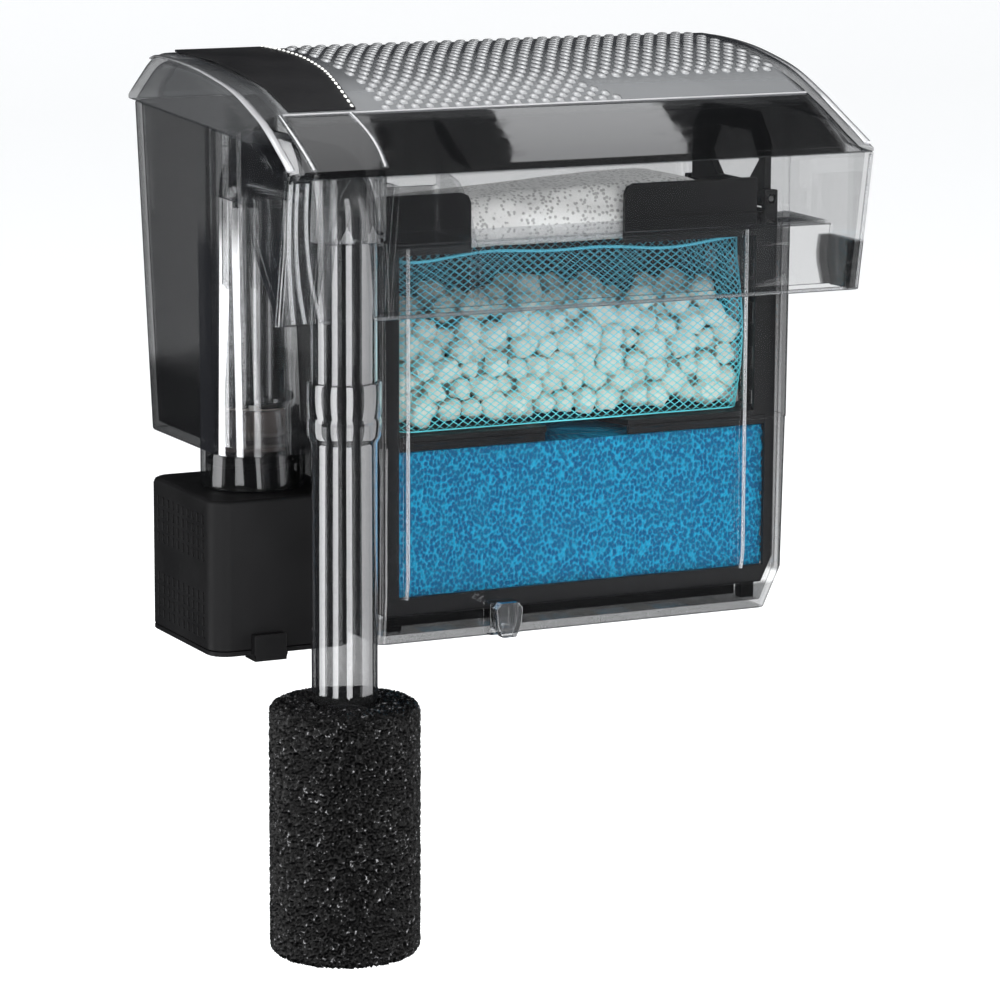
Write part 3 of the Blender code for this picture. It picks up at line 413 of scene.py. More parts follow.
def case_corner(p, gloss):
    """The solid front corner of the motor chamber reflects from both of its faces."""
    near = p.product(p.between(p.axis("X"), -0.1165, -0.1145, 1.0, 0.0),
                     p.between(p.axis("Y"), 0.0410, 0.0430, 1.0, 0.0),
                     p.between(p.axis("Z"), -0.0080, 0.0120, 1.0, 0.0))
    return p.math("MULTIPLY_ADD", near, 4.5 * gloss, gloss)


def lid_painted_shade(p):
    """Painted shade and dark reflection on the lid: its front slope is darkest, and its top is dimmed between
    the bumps.
    """
    slope = p.between(p.axis("Y"), -0.0150, -0.0135, 0.18, 0.50)
    ends = p.between(p.math("ABSOLUTE", p.axis("X")), 0.1090, 0.1120, 0.0, 0.80)
    return p.math("MAXIMUM", slope, ends)


def lid_cloud(p):
    """The textured top scatters more light than the polished slope in front of it."""
    top = p.between(p.axis("Y"), -0.0135, -0.0120, 0.004, 0.27)
    ends = p.between(p.math("ABSOLUTE", p.axis("X")), 0.1090, 0.1120, 1.0, 0.15)
    return p.math("MULTIPLY", top, ends)


def make_materials():
    return {
        "case": clear_plastic("case_clear", tint=0.995, painted_shade=case_painted_shade, gloss=1.25, ripple=0.03,
                              thick=case_corner),
        "lid": clear_plastic("lid_clear", tint=0.97, painted_shade=lid_painted_shade, cloud=lid_cloud, gloss=2.0,
                             ripple=0.04),
        "bumps": clear_plastic("lid_bump_clear", tint=0.6, haze=0.38, gloss=2.6, roughness=0.12,
                               haze_colour=(0.76, 0.77, 0.78)),
        "tube": clear_plastic("tube_clear", tint=0.72, rim=0.0, gloss=2.6, falloff=1.7),
        "trim": clear_plastic("trim_clear", tint=0.85, rim=0.1, haze=0.10, gloss=4.0, roughness=0.06),
        # edge: hazy white that stands in for bright edge lines, a painted highlight
        "edge": clear_plastic("highlight_edge_clear", tint=0.9, rim=0.1, haze=0.42, gloss=4.0, roughness=0.06,
                              haze_colour=(0.9, 0.9, 0.92)),
        "foot": clear_plastic("foot_clear", tint=0.80, rim=0.05, haze=0.05, gloss=5.0, falloff=1.6),
        "black": black_plastic("black_moulding"),
        "motor": black_plastic("motor_black", (0.0068, 0.0068, 0.0072), 0.5, 0.45, 0.12),
        "label": black_plastic("label_black", (0.006, 0.006, 0.007), 0.5, 0.2),
        "strainer": black_plastic("strainer_grey", (0.045, 0.045, 0.05), 0.45),
        "pin": black_plastic("pin_nylon", (0.05, 0.05, 0.05), 0.35),
        "resin": black_plastic("potting_resin", (0.02, 0.02, 0.022), 0.2, 2.0),
        "rubber": rubber("seal_rubber"),
        "gland": rubber("gland_rubber"),
        "bush": rubber("bush_rubber"),
        # The pit colours of both foams are painted shade in the cells; the sponge's glint colour is a painted
        # highlight.
        "sponge": open_foam("sponge_black", (0.0001, 0.0001, 0.0001), (0.0010, 0.0010, 0.0011), 0.32,
                            2.0, 0.25, glint=(0.30, 0.30, 0.31)),
        "foam": open_foam("foam_blue", (0.001, 0.075, 0.18), (0.005, 0.28, 0.47), 0.7, 1.9, 0.2),
        "net": net_thread("net_teal"),
        "ceramic": ceramic_grains("ceramic_grains"),
        "fleece": fleece("white_fleece"),
        "impeller": moulded("impeller_white", (0.80, 0.70, 0.66)),
        "nylon": moulded("bobbin_nylon", (0.75, 0.74, 0.68)),
        "washer": moulded("washer_white", (0.85, 0.85, 0.82)),
        "shaft": moulded("shaft_ceramic", (0.85, 0.85, 0.83), 0.15),
        "ferrite": moulded("rotor_ferrite", (0.06, 0.06, 0.065), 0.45),
        "steel": laminated_steel("laminations"),
        "copper": copper_wire("coil_wire"),
    }


# ---- mesh helpers
def shade(mesh, smooth_angle):
    mesh.shade_smooth()
    mesh.set_sharp_from_angle(angle=math.radians(smooth_angle))


def new_object(name, points, faces, mat, smooth_angle=35.0):
    """An object from points in millimetres."""
    mesh = bpy.data.meshes.new(name)
    mesh.from_pydata([Vector(p) * MM for p in points], [], faces)
    mesh.update()
    mesh.materials.append(mat)
    shade(mesh, smooth_angle)
    return placed(name, mesh)


def coat(obj, mat):
    obj.data.materials.clear()
    obj.data.materials.append(mat)


def modify(obj, kind, **settings):
    modifier = obj.modifiers.new(kind.lower(), kind)
    for key, value in settings.items():
        setattr(modifier, key, value)
    return modifier


def settle(obj, body, slot, *replaced):
    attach(obj, body)
    if replaced:
        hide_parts(*replaced)
    return obj


def bake_modifiers(obj, smooth_angle=None):
    graph = bpy.context.evaluated_depsgraph_get()
    mesh = bpy.data.meshes.new_from_object(obj.evaluated_get(graph))
    obj.modifiers.clear()
    obj.data = mesh
    if smooth_angle is not None:
        shade(mesh, smooth_angle)
    return obj


def weld_split_faces(obj):
    modify(obj, "WELD", merge_threshold=0.00001)


def rounded_edges(obj, width_mm):
    """Softens the sharp edges of a moulding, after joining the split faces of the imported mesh."""
    weld_split_faces(obj)
    modify(obj, "BEVEL", face_strength_mode="FSTR_ALL", width=width_mm * MM, segments=2,
           limit_method="ANGLE", angle_limit=math.radians(38.0), use_clamp_overlap=False,
           miter_outer="MITER_ARC")
    modify(obj, "WEIGHTED_NORMAL", use_face_influence=True)
    return obj


def band(faces, low, high, count):
    """Adds the quads between two closed rings whose first points are low and high."""
    for k in range(count):
        j = (k + 1) % count
        faces.append((low + k, low + j, high + j, high + k))


def cap(faces, start, count, down=False):
    face = tuple(range(start, start + count))
    faces.append(face[::-1] if down else face)


def circle(centre, radius, height, count):
    turns = [2 * math.pi * k / count for k in range(count)]
    return [(centre[0] + radius * math.cos(a), centre[1] + radius * math.sin(a), height) for a in turns]


def walk(a, b, step):
    """Even steps from a towards b, without b itself."""
    count = max(1, round(math.dist(a, b) / step))
    return [(a[0] + (b[0] - a[0]) * t, a[1] + (b[1] - a[1]) * t) for t in (k / count for k in range(count))]


def heading(path, i):
    """The direction of a path of points at its i-th one."""
    return (Vector(path[min(i + 1, len(path) - 1)]) - Vector(path[max(i - 1, 0)])).normalized()


def oval(centre, side, up, half_width, half_height, count):
    turns = [2 * math.pi * k / count for k in range(count)]
    return [centre + side * half_width * math.cos(a) + up * half_height * math.sin(a) for a in turns]


def loft(name, rings, mat, smooth_angle=35.0, caps=True):
    count = len(rings[0])
    points = [p for ring in rings for p in ring]
    faces = []
    for level in range(len(rings) - 1):
        band(faces, level * count, (level + 1) * count, count)
    if caps:
        cap(faces, 0, count, down=True)
        cap(faces, (len(rings) - 1) * count, count)
    return new_object(name, points, faces, mat, smooth_angle)


def prism_x(name, outline, x0, x1, mat):
    """A (y, z) outline extruded along X."""
    area = sum(a[0] * b[1] - b[0] * a[1] for a, b in zip(outline, outline[1:] + outline[:1]))
    turned = outline if area > 0 else outline[::-1]
    return loft(name, [[(x, y, z) for y, z in turned] for x in (x0, x1)], mat)


def box(name, x, y, z, mat):
    return prism_x(name, [(y[0], z[0]), (y[1], z[0]), (y[1], z[1]), (y[0], z[1])], x[0], x[1], mat)


def lathe(name, profile, centre, mat):
    """A ring turned about a vertical axis from a closed (radius, height) profile."""
    points, faces = [], []
    rows, segments = len(profile), 96
    for radius, height in profile:
        points += circle(centre, radius, height, segments)
    for i in range(rows):
        band(faces, i * segments, (i + 1) % rows * segments, segments)
    return new_object(name, points, faces, mat, 40.0)


def boolean(target, other):
    """Cuts one object out of another."""
    modify(target, "BOOLEAN", operation="DIFFERENCE", solver="EXACT", object=other)
    bake_modifiers(target)
    bpy.data.objects.remove(other, do_unlink=True)
    return target


def join(name, objects):
    """One object from several, keeping its parts as separate shells."""
    mesh = bpy.data.meshes.new(name)
    gathered = bmesh.new()
    for obj in objects:
        gathered.from_mesh(obj.data)
    gathered.to_mesh(mesh)
    gathered.free()
    for mat in objects[0].data.materials:
        mesh.materials.append(mat)
    for obj in objects:
        bpy.data.objects.remove(obj, do_unlink=True)
    mesh.set_sharp_from_angle(angle=math.radians(40.0))
    return placed(name, mesh)


def hermite(stations, x):
    """Smooth value of each column of a table whose first column rises, at x."""
    xs = [s[0] for s in stations]
    i = min(max(bisect.bisect_left(xs, x) - 1, 0), len(xs) - 2)
    span = xs[i + 1] - xs[i]
    t = min(max((x - xs[i]) / span, 0.0), 1.0)

    def slope(k, column):
        low, high = max(k - 1, 0), min(k + 1, len(xs) - 1)
        return (stations[high][column] - stations[low][column]) / (xs[high] - xs[low])

    values = []
    for column in range(1, len(stations[0])):
        p0, p1 = stations[i][column], stations[i + 1][column]
        m0, m1 = slope(i, column) * span, slope(i + 1, column) * span
        values.append((2 * t ** 3 - 3 * t ** 2 + 1) * p0 + (t ** 3 - 2 * t ** 2 + t) * m0
                      + (-2 * t ** 3 + 3 * t ** 2) * p1 + (t ** 3 - t ** 2) * m1)
    return values


def smoothstep(x):
    x = np.clip(x, 0.0, 1.0)
    return x * x * (3 - 2 * x)


# ---- driving sizes, in millimetres
LID_LOW, LID_HIGH = box_mm("lid")
HALF_WIDTH = (LID_HIGH.x - LID_LOW.x) / 2
WALL = 2.5
CREASE_Y = -13.0
FRONT_SLOPE = [(-46.0, 34.6, 6.0, 1.6), (-40.0, 38.4, 8.0, 3.5), (-31.4, 43.2, 10.0, 5.5),
               (-22.0, 48.0, 12.0, 6.0), (-13.0, 52.4, 13.0, 6.5)]
TOP_CROWN = [(-13.0, 52.4, 13.0, 6.5), (9.0, 60.3, 12.0, 6.5), (27.0, 64.0, 10.5, 6.0),
             (52.0, 67.2, 8.5, 5.5), (84.0, 68.2, 6.5, 5.0), (91.0, 66.4, 5.5, 4.5),
             (102.0, 59.2, 4.0, 4.0), (112.5, 51.2, 3.0, 2.0)]
RIM = [(-60.0, 31.4), (-46.0, 32.0), (-27.0, 33.6), (-20.0, 38.0), (-13.0, 41.3), (6.0, 43.0),
       (34.0, 44.5), (125.0, 48.7)]
TUBE_LOW, TUBE_HIGH = box_mm("intake_extension_tube")
TUBE_X, TUBE_Y = (TUBE_LOW.x + TUBE_HIGH.x) / 2, (TUBE_LOW.y + TUBE_HIGH.y) / 2
TUBE_R, TUBE_BORE = 12.5, 11.0
WELL_Y = 60.0


def rim_height(y):
    for (y0, z0), (y1, z1) in zip(RIM, RIM[1:]):
        if y <= y1:
            return z0 + (z1 - z0) * (y - y0) / (y1 - y0)
    return RIM[-1][1]


def crown_at(y):
    """Height of the lid's top, inset of its flat and drop of its rounding, at y."""
    return hermite(FRONT_SLOPE if y < CREASE_Y else TOP_CROWN, y)


# ---- lid
def lid_section(y, inward, foot, ends):
    top, inset, drop = crown_at(y)
    y_in = min(max(y, ends[0]), ends[1])
    drop = min(drop, top - rim_height(y) - 0.6)
    top -= inward * 1.1
    half_width = HALF_WIDTH - inward
    arc_steps = 8
    right = [(half_width, foot(y))]
    for k in range(arc_steps + 1):
        a = math.radians(90.0 * k / arc_steps)
        right.append((half_width - inset + inset * math.cos(a), top - drop + drop * math.sin(a)))
    half = right + [((half_width - inset) * (1 - k / 6), top) for k in range(1, 6)]
    points = half + [(0.0, top)] + [(-x, z) for x, z in half[::-1]]
    return [(x, y_in, z) for x, z in points[::-1]]


def lid_shell(mats):
    stations = [-46.0 + 33.0 * k / 12 for k in range(12)] + [-13.0 + 125.5 * k / 44 for k in range(45)]
    first, last = stations[0], stations[-1]
    outer = loft("lid_shell", [lid_section(y, 0.0, rim_height, (first, last)) for y in stations], mats["lid"])
    inner = loft("lid_hollow", [lid_section(y, WALL, lambda y: 20.0, (first + WALL, last - WALL))
                                for y in stations], mats["lid"])
    shell = boolean(outer, inner)
    below = prism_x("below", RIM + [(125.0, -20.0), (-60.0, -20.0)], -200.0, 200.0, mats["lid"])
    boolean(shell, below)
    bake_modifiers(rounded_edges(shell, 0.5))
    return settle(shell, "lid", "clear_plastic", "lid")


def bump_rows():
    """Rows of bumps whose spacing grows towards the back, where the lid is flatter."""
    y = -9.8
    while y < 87.5:
        step = min(5.6, 1.95 / max(0.16 + slope_at(y), 0.1))
        yield y, step
        y += step


def slope_at(y):
    return crown_at(y + 0.5)[0] - crown_at(y - 0.5)[0]


def add_dome(points, faces, x, y, height, half_x, half_y, levels, phase=0.0, apex=None):
    """Adds a raised bump that follows the lid's slope, from (reach, lift) rings of eight points."""
    top, slope, base, sides = crown_at(y)[0] + height, slope_at(y), len(points), 8
    for reach, lift in levels:
        for k in range(sides):
            a = 2 * math.pi * (k + phase) / sides
            u, v = half_x * reach * math.cos(a), half_y * reach * math.sin(a)
            points.append((x + u, y + v, top + lift + slope * v))
    for level in range(2):
        band(faces, base + level * sides, base + (level + 1) * sides, sides)
    last = base + 2 * sides
    if apex is None:
        cap(faces, last, sides)
    else:
        points.append((x, y, top + apex))
        faces += [(last + k, last + (k + 1) % sides, last + sides) for k in range(sides)]
    cap(faces, base, sides, down=True)


def lid_bumps(mats):
    """Staggered raised bumps over the top, bare beside the label and in the front right corner."""
    pitch, first_x, last_x = 6.1, -74.0, 111.0
    points, faces = [], []
    for row, (y, step) in enumerate(bump_rows()):
        label_edge = -70.5 + 2.2 * math.sin(math.pi * (y + 12.0) / 95.0)
        x = first_x + 0.5 * pitch * (row % 2)
        while x < last_x - 0.0009 * (y - 60.0) ** 2:
            blank = y < 7.0 and x > 35.0 - 1.1 * (y + 9.5)
            if x > label_edge and not blank:
                add_dome(points, faces, x, y, 0.0, 1.85, 0.60 * step,
                         ((1.0, -0.1), (0.84, 0.45), (0.45, 0.72)), phase=0.5, apex=0.78)
            x += pitch
    bumps = new_object("lid_grip_bumps", points, faces, mats["bumps"], 50.0)
    return settle(bumps, "lid", "clear_plastic")


def swept_strip(name, path, width, height, mat, body="lid"):
    """A bead of oval section along a path. Its width lies along X where it can."""
    rings = []
    for i, centre in enumerate(path):
        along = heading(path, i)
        side = Vector((0.0, 1.0, 0.0)) if abs(along.x) > 0.9 else Vector((1.0, 0.0, 0.0))
        up = side.cross(along).normalized()
        if up.z < 0:
            up = -up
        side = along.cross(up).normalized()
        rings.append(oval(Vector(centre), side, up, width / 2, height, 12))
    return settle(loft(name, rings, mat, 50.0), body, "clear_plastic")


def lid_trim(mats):
    """The bead along the crease, the ends' edges, the tube cover's edges and the inner rib.
    The crease bead and the ends' strips, in the hazy white edge material, are painted highlight lines.
    """
    crease_top = crown_at(CREASE_Y)[0] + 0.15
    # The crease bead's hazy white is a painted highlight line; its relief catches real light too.
    swept_strip("lid_crease_highlight_bead", [(-111.5 + 223.0 * k / 24, CREASE_Y, crease_top) for k in range(25)],
                1.5, 0.45, mats["edge"])
    # The end strips are painted highlight lines along the lid's rounded ends.
    for side, name in ((-1.0, "lid_end_highlight_left"), (1.0, "lid_end_highlight_right")):
        path = []
        for k in range(41):
            y = -44.0 + 134.0 * k / 40
            top, inset, drop = crown_at(y)
            path.append((side * (HALF_WIDTH - 0.30 * inset), y, top - 0.28 * drop + 0.1))
        swept_strip(name, path, 3.4, 0.6, mats["edge"])
    front = [(-45.2 + 31.5 * k / 14) for k in range(15)]
    for name, x0, bow in (("lid_cover_edge_left", -112.6, 0.0), ("lid_cover_edge_right", -83.9, 1.6)):
        path = [(x0 + bow * math.sin(math.pi * k / 14), y, crown_at(y)[0] + 0.1) for k, y in enumerate(front)]
        swept_strip(name, path, 2.4, 0.7, mats["trim"])
    outline = [(y, crown_at(y)[0] - 2.9) for y in front]
    outline += [(-16.0, 43.5), (-24.0, 38.5), (-31.0, 34.8), (-42.0, 34.0)]
    settle(prism_x("lid_inner_rib", outline, -50.2, -48.4, mats["trim"]), "lid", "clear_plastic")


def label_beads(mats):
    """A row of small oblong beads along the label's right edge."""
    points, faces = [], []
    edge = [(-11.5, -81.0), (9.0, -79.0), (27.0, -76.5), (52.0, -76.0), (83.0, -78.0)]
    count = 26
    for n in range(count):
        y = -10.0 + 92.0 * n / (count - 1)
        add_dome(points, faces, hermite(edge, y)[0] - 1.2, y, 1.15, 0.60, 1.15,
                 ((1.0, 0.0), (0.85, 0.35), (0.4, 0.55)))
    beads = new_object("label_beads", points, faces, mats["washer"], 60.0)
    return settle(beads, "lid", "clear_plastic")


# ---- case trim and intake
def hood_trim(mats):
    """Raised strips on the hood's left corner, a lip along the apron's foot and thin edge beads."""
    def apron_y(z):
        return -46.0 + (32.0 - z) * 10.0 / 55.0

    def strip(name, path, width, height):
        swept_strip(name, path, width, height, mats["trim"], "case")

    shares = [i / 12 for i in range(13)]
    heights = [31.0 - 53.0 * i / 12 for i in range(13)]
    for k, (top_x, foot_x) in enumerate(((-122.4, -117.6), (-119.9, -113.0), (-116.0, -106.6))):
        strip(f"hood_corner_strip_{k + 1}", [(top_x + (foot_x - top_x) * t ** 2.2, apron_y(z) - 0.25, z)
                                             for t, z in zip(shares, heights)], 1.5, 0.7)
    foot_y = apron_y(-22.2) + 1.0
    strip("apron_foot_lip", [(-105.0 + 227.5 * k / 20, foot_y, -22.4) for k in range(21)], 2.0, 0.8)
    strip("hood_edge_right", [(122.3, apron_y(z) + 0.5, z) for z in heights], 1.4, 0.7)
    for k, x in enumerate((-48.5, 100.2)):
        path = [(x, 12.2, -3.5 - 131.0 * i / 12) for i in range(13)] + [(x, 13.0, -138.5), (x, 13.6, -141.5)]
        strip(f"front_rib_bead_{k + 1}", path, 1.6, 0.6)


def tube_path():
    """The U-tube's middle line: up from the guide cup, over the rim and down into the well."""
    cross_z, bend, steps = 28.6, 16.0, 16
    path = [Vector((TUBE_X, TUBE_Y, z)) for z in (-60.0, -40.0, -20.0, cross_z - bend)]
    for y, start, first in ((TUBE_Y + bend, 180.0, 1), (WELL_Y - bend, 90.0, 0)):
        for k in range(first, steps + 1):
            a = math.radians(start - 90.0 * k / steps)
            path.append(Vector((TUBE_X, y + bend * math.cos(a), cross_z - bend + bend * math.sin(a))))
    return path + [Vector((TUBE_X, WELL_Y, z)) for z in (-20.0, -64.0)]


def intake_u_tube(mats):
    """The U-tube as a smooth pipe with square-cut mouths, and the flange on its rear leg."""
    path, segments = tube_path(), 64
    side = Vector((1.0, 0.0, 0.0))
    sections = []
    for radius in (TUBE_R, TUBE_BORE):
        rings = []
        for i, centre in enumerate(path):
            rings.append(oval(centre, side, heading(path, i).cross(side), radius, radius, segments))
        sections.append(rings)
    rings = sections[0] + sections[1][::-1]
    rings.append(rings[0])
    tube = loft("u_tube", rings, mats["tube"], 40.0, caps=False)
    flange = lathe("u_tube_flange", [(TUBE_R + 0.05, -66.0), (15.8, -66.0), (16.2, -65.6), (16.2, -64.0),
                                     (15.8, -63.6), (TUBE_R + 0.05, -63.6)], (TUBE_X, WELL_Y), mats["tube"])
    merged = join("intake_u_tube_clear", [tube, flange])
    return settle(merged, "intake", "clear_plastic", "intake_u_tube")


def intake_extension(mats):
    """The lower tube with its flared socket, whose lips are rounded."""
    low, high = TUBE_LOW.z, TUBE_HIGH.z
    r, foot = 14.05, -68.6  # of the socket
    profile = [(TUBE_BORE + 0.2, low), (TUBE_R - 0.3, low), (TUBE_R, low + 0.3), (TUBE_R, foot - 0.8),
               (TUBE_R + 0.3, foot), (r - 0.5, foot + 1.4), (r, foot + 2.4), (r, -60.0), (r - 0.25, -59.6),
               (r - 0.25, -59.0), (r, -58.6), (r, high - 0.5), (r - 0.4, high), (TUBE_R + 0.75, high),
               (TUBE_R + 0.35, high - 0.4), (TUBE_R + 0.35, foot + 8.0), (TUBE_BORE, foot + 6.5),
               (TUBE_BORE, low + 0.2)]
    tube = lathe("extension_tube_clear", profile, (TUBE_X, TUBE_Y), mats["tube"])
    return settle(tube, "extension", "clear_plastic", "intake_extension_tube")


# ---- foams
def scattered(low, high, spacing, seed):
    """Jittered grid points that fill a box. spacing is per axis."""
    rng = np.random.default_rng(seed)
    axes = [np.arange(a - s, b + s, s) for a, b, s in zip(low, high, spacing)]
    grid = np.stack(np.meshgrid(*axes, indexing="ij"), -1).reshape(-1, 3)
    return grid + rng.uniform(-0.5, 0.5, grid.shape) * np.array(spacing)


def strand_height(points, centres, stretch, width):
    """How near each point is to a wall between foam cells: 1 on the strand, 0 in the pit."""
    tree = kdtree.KDTree(len(centres))
    for i, c in enumerate(centres):
        tree.insert(Vector(c) * Vector(stretch), i)
    tree.balance()
    heights = np.empty(len(points))
    for n, p in enumerate(points):
        near = tree.find_n(Vector(p) * Vector(stretch), 3)
        first, second, third = near[0][2], near[1][2], near[2][2]
        edge = 0.62 * (second - first) + 0.38 * (third - first)
        heights[n] = 1.0 - edge / width
    return smoothstep(heights)


def foam_surface(name, points, normals, faces, mat, cell, depth, wall, seed, stretch=(1.0, 1.0, 1.0)):
    """Pits a closed surface with open cells, and stores how high each point stands for its shader."""
    points, normals = np.array(points, float), np.array(normals, float)
    low, high = points.min(0) - cell, points.max(0) + cell
    spacing = [cell / s for s in stretch]
    centres = scattered(low, high, spacing, seed)
    shell = kdtree.KDTree(len(points))
    for i, p in enumerate(points[::7]):
        shell.insert(Vector(p), i)
    shell.balance()
    keep = [c for c in centres if shell.find(Vector(c))[2] < 2.6 * cell]
    heights = strand_height(points, keep, stretch, wall * cell)
    wobble = np.array([noise.noise(Vector(p) * 0.35) for p in points])
    sunk = depth * (1.0 - heights) + 0.18 * cell * (wobble + 0.5) * 0.5
    obj = new_object(name, (points - normals * sunk[:, None]).tolist(), faces, mat, 180.0)
    attribute = obj.data.attributes.new("strand", "FLOAT", "POINT")
    attribute.data.foreach_set("value", heights.astype(np.float32))
    return obj


def prefilter_sponge(mats):
    """Coarse black foam cylinder with a rounded rim, a bore for the tube and deep open cells."""
    low, high = box_mm("prefilter_sponge")
    radius, rounding, bore, bore_floor = (high.x - low.x) / 2, 4.5, TUBE_R + 0.5, -239.0
    step, segments = 0.52, 360
    flat = radius - rounding
    profile = []

    def run(a, b, normal):
        profile.extend((place, normal) for place in walk(a, b, step))

    def arc(height, start):
        count = round(math.pi / 2 * rounding / step)
        for k in range(count):
            a = math.radians(start + 90.0 * k / count)
            out, up = math.cos(a), math.sin(a)
            profile.append(((flat + rounding * out, height + rounding * up), (out, up)))

    run((0.6, low.z), (flat, low.z), (0.0, -1.0))
    arc(low.z + rounding, -90.0)
    run((radius, low.z + rounding), (radius, high.z - rounding), (1.0, 0.0))
    arc(high.z - rounding, 0.0)
    run((flat, high.z), (bore, high.z), (0.0, 1.0))
    run((bore, high.z), (bore, high.z - 6.0), (-1.0, 0.0))
    profile.append(((bore, bore_floor), (0.0, 0.0)))
    points, normals, faces = [], [], []
    for (r, z), (out, up) in profile:
        points += circle((TUBE_X, TUBE_Y), r, z, segments)
        normals += circle((0.0, 0.0), out, up, segments)
    rows = len(profile) - 1
    for i in range(rows - 1):
        band(faces, i * segments, (i + 1) * segments, segments)
    cap(faces, 0, segments, down=True)
    band(faces, (rows - 1) * segments, rows * segments, segments)
    cap(faces, rows * segments, segments)
    sponge = foam_surface("prefilter_sponge_foam", points, normals, faces, mats["sponge"],
                          cell=2.0, depth=1.9, wall=0.5, seed=11)
    settle(sponge, "sponge", "sponge_black", "prefilter_sponge")
    return sponge


def foam_block(mats):
    """Blue foam slab. Its front, which shows through the basket, has the finest surface."""
    low, high = box_mm("foam_block")
    inset, fine, coarse = 0.3, 0.52, 1.7
    x0, x1, y0, y1 = low.x + inset, high.x - inset, low.y + inset, high.y - inset
    outline = []
    for a, b, step, normal in (((x0, y0), (x1, y0), fine, (0, -1)), ((x1, y0), (x1, y1), coarse, (1, 0)),
                               ((x1, y1), (x0, y1), coarse, (0, 1)), ((x0, y1), (x0, y0), coarse, (-1, 0))):
        outline += [(place, normal) for place in walk(a, b, step)]
    rise = high.z - low.z - 2 * inset
    rows, count = round(rise / fine), len(outline)
    points, normals, faces = [], [], []
    for i in range(rows + 1):
        points += [(x, y, low.z + inset + rise * i / rows) for (x, y), _ in outline]
        normals += [(nx, ny, 0.0) for _, (nx, ny) in outline]
    for i in range(rows):
        band(faces, i * count, (i + 1) * count, count)
    centre_x, centre_y = (x0 + x1) / 2, (y0 + y1) / 2
    for level, nz in ((0, -1.0), (rows, 1.0)):
        ring, z = level * count, points[level * count][2]
        quads = []
        for share in (0.94, 0.82, 0.66, 0.48, 0.28, 0.1):
            inner = len(points)
            points += [(centre_x + (x - centre_x) * share, centre_y + (y - centre_y) * share, z)
                       for (x, y), _ in outline]
            normals += [(0.0, 0.0, nz)] * count
            band(quads, ring, inner, count)
            ring = inner
        cap(quads, ring, count)
        faces += quads if nz > 0 else [face[::-1] for face in quads]
    foam = foam_surface("foam_block_blue", points, normals, faces, mats["foam"],
                        cell=1.6, depth=0.9, wall=0.40, seed=5, stretch=(1.0, 1.0, 0.62))
    settle(foam, "basket", "foam_blue", "foam_block")
    return foam


# ---- media bag, ceramic pieces, pouch
BAG_LOW, BAG_HIGH = box_mm("media_bag")


def bag_point(u, v):
    """A point on the bag: u runs once round from the middle of the front, v from foot 0 to top 1."""
    x0, x1, y0, y1 = BAG_LOW.x + 0.4, BAG_HIGH.x - 0.4, BAG_LOW.y + 0.4, BAG_HIGH.y - 0.4
    corner = 7.0
    left, right, front, back = x0 + corner, x1 - corner, y0 + corner, y1 - corner
    arc = math.pi / 2 * corner
    total = 2 * (right - left + back - front) + 4 * arc
    s = ((u % 1.0) * total + (right - left) / 2) % total
    sides = ((right, front, right - left, -90), (right, back, back - front, 0),
             (left, back, right - left, 90), (left, front, back - front, 180))
    for centre_x, centre_y, length, start in sides:
        if s <= length + arc:
            break
        s -= length + arc
    a = math.radians(start + 90.0 * max(s - length, 0.0) / arc)
    rest = length - min(s, length)
    x = centre_x + corner * math.cos(a) + rest * math.sin(math.radians(start))
    y = centre_y + corner * math.sin(a) - rest * math.cos(math.radians(start))
    sag = 0.9 * math.sin(0.055 * x + 1.2) + 0.7 * math.sin(0.11 * x + 3.0)
    z = BAG_LOW.z + 0.4 + (BAG_HIGH.z - BAG_LOW.z - 1.6 + sag * v * v) * v
    lean = 1.6 * math.sin(math.pi * v)
    pull = 1.0 - 0.030 * (1.0 - math.sin(math.pi * min(v * 1.15, 1.0)))
    centre_x, centre_y = (x0 + x1) / 2, (y0 + y1) / 2
    wave = 0.5 * noise.noise(Vector((x * 0.06, y * 0.06, z * 0.07)))
    x = centre_x + (x - centre_x) * (pull + 0.004 * lean)
    y = centre_y + (y - centre_y) * (pull + 0.004 * lean) + wave
    return (min(max(x, x0), x1), min(max(y, y0), y1), z)


def media_net(mats):
    """The bag's knotted net: diamonds of round thread over its four sides, with a hem at top and foot."""
    across, up, thread = 100, 23, 0.56
    points, faces = [], []
    for j in range(2 * up + 1):
        points += [bag_point((i + 0.5 * (j % 2)) / across, j / (2 * up)) for i in range(across)]
    for j in range(2 * up - 1):
        shift = j % 2
        for i in range(across):
            left = (j + 1) * across + (i - 1 + shift) % across
            right = (j + 1) * across + (i + shift) % across
            faces.append((j * across + i, right, (j + 2) * across + i, left))
    net = new_object("media_bag_net", points, faces, mats["net"], 180.0)
    modify(net, "WIREFRAME", thickness=thread * MM, use_even_offset=False, use_replace=True)
    bake_modifiers(net, 180.0)
    settle(net, "basket", "bag_mesh", "media_bag")
    steps, sides, up_axis = 240, 8, Vector((0, 0, 1))
    for name, level, half_height in (("media_bag_hem", 1.0, 0.6), ("media_bag_seam", 0.0, 0.3)):
        rings = []
        for i in range(steps):
            p, q = (Vector(bag_point((i + ahead) / steps, level)) for ahead in (0, 1))
            out = (q - p).normalized().cross(up_axis)
            rings.append(oval(p, out, up_axis, 0.30, half_height, sides))
        rings.append(rings[0])
        settle(loft(name, rings, mats["net"], 60.0, caps=False), "basket", "bag_mesh")


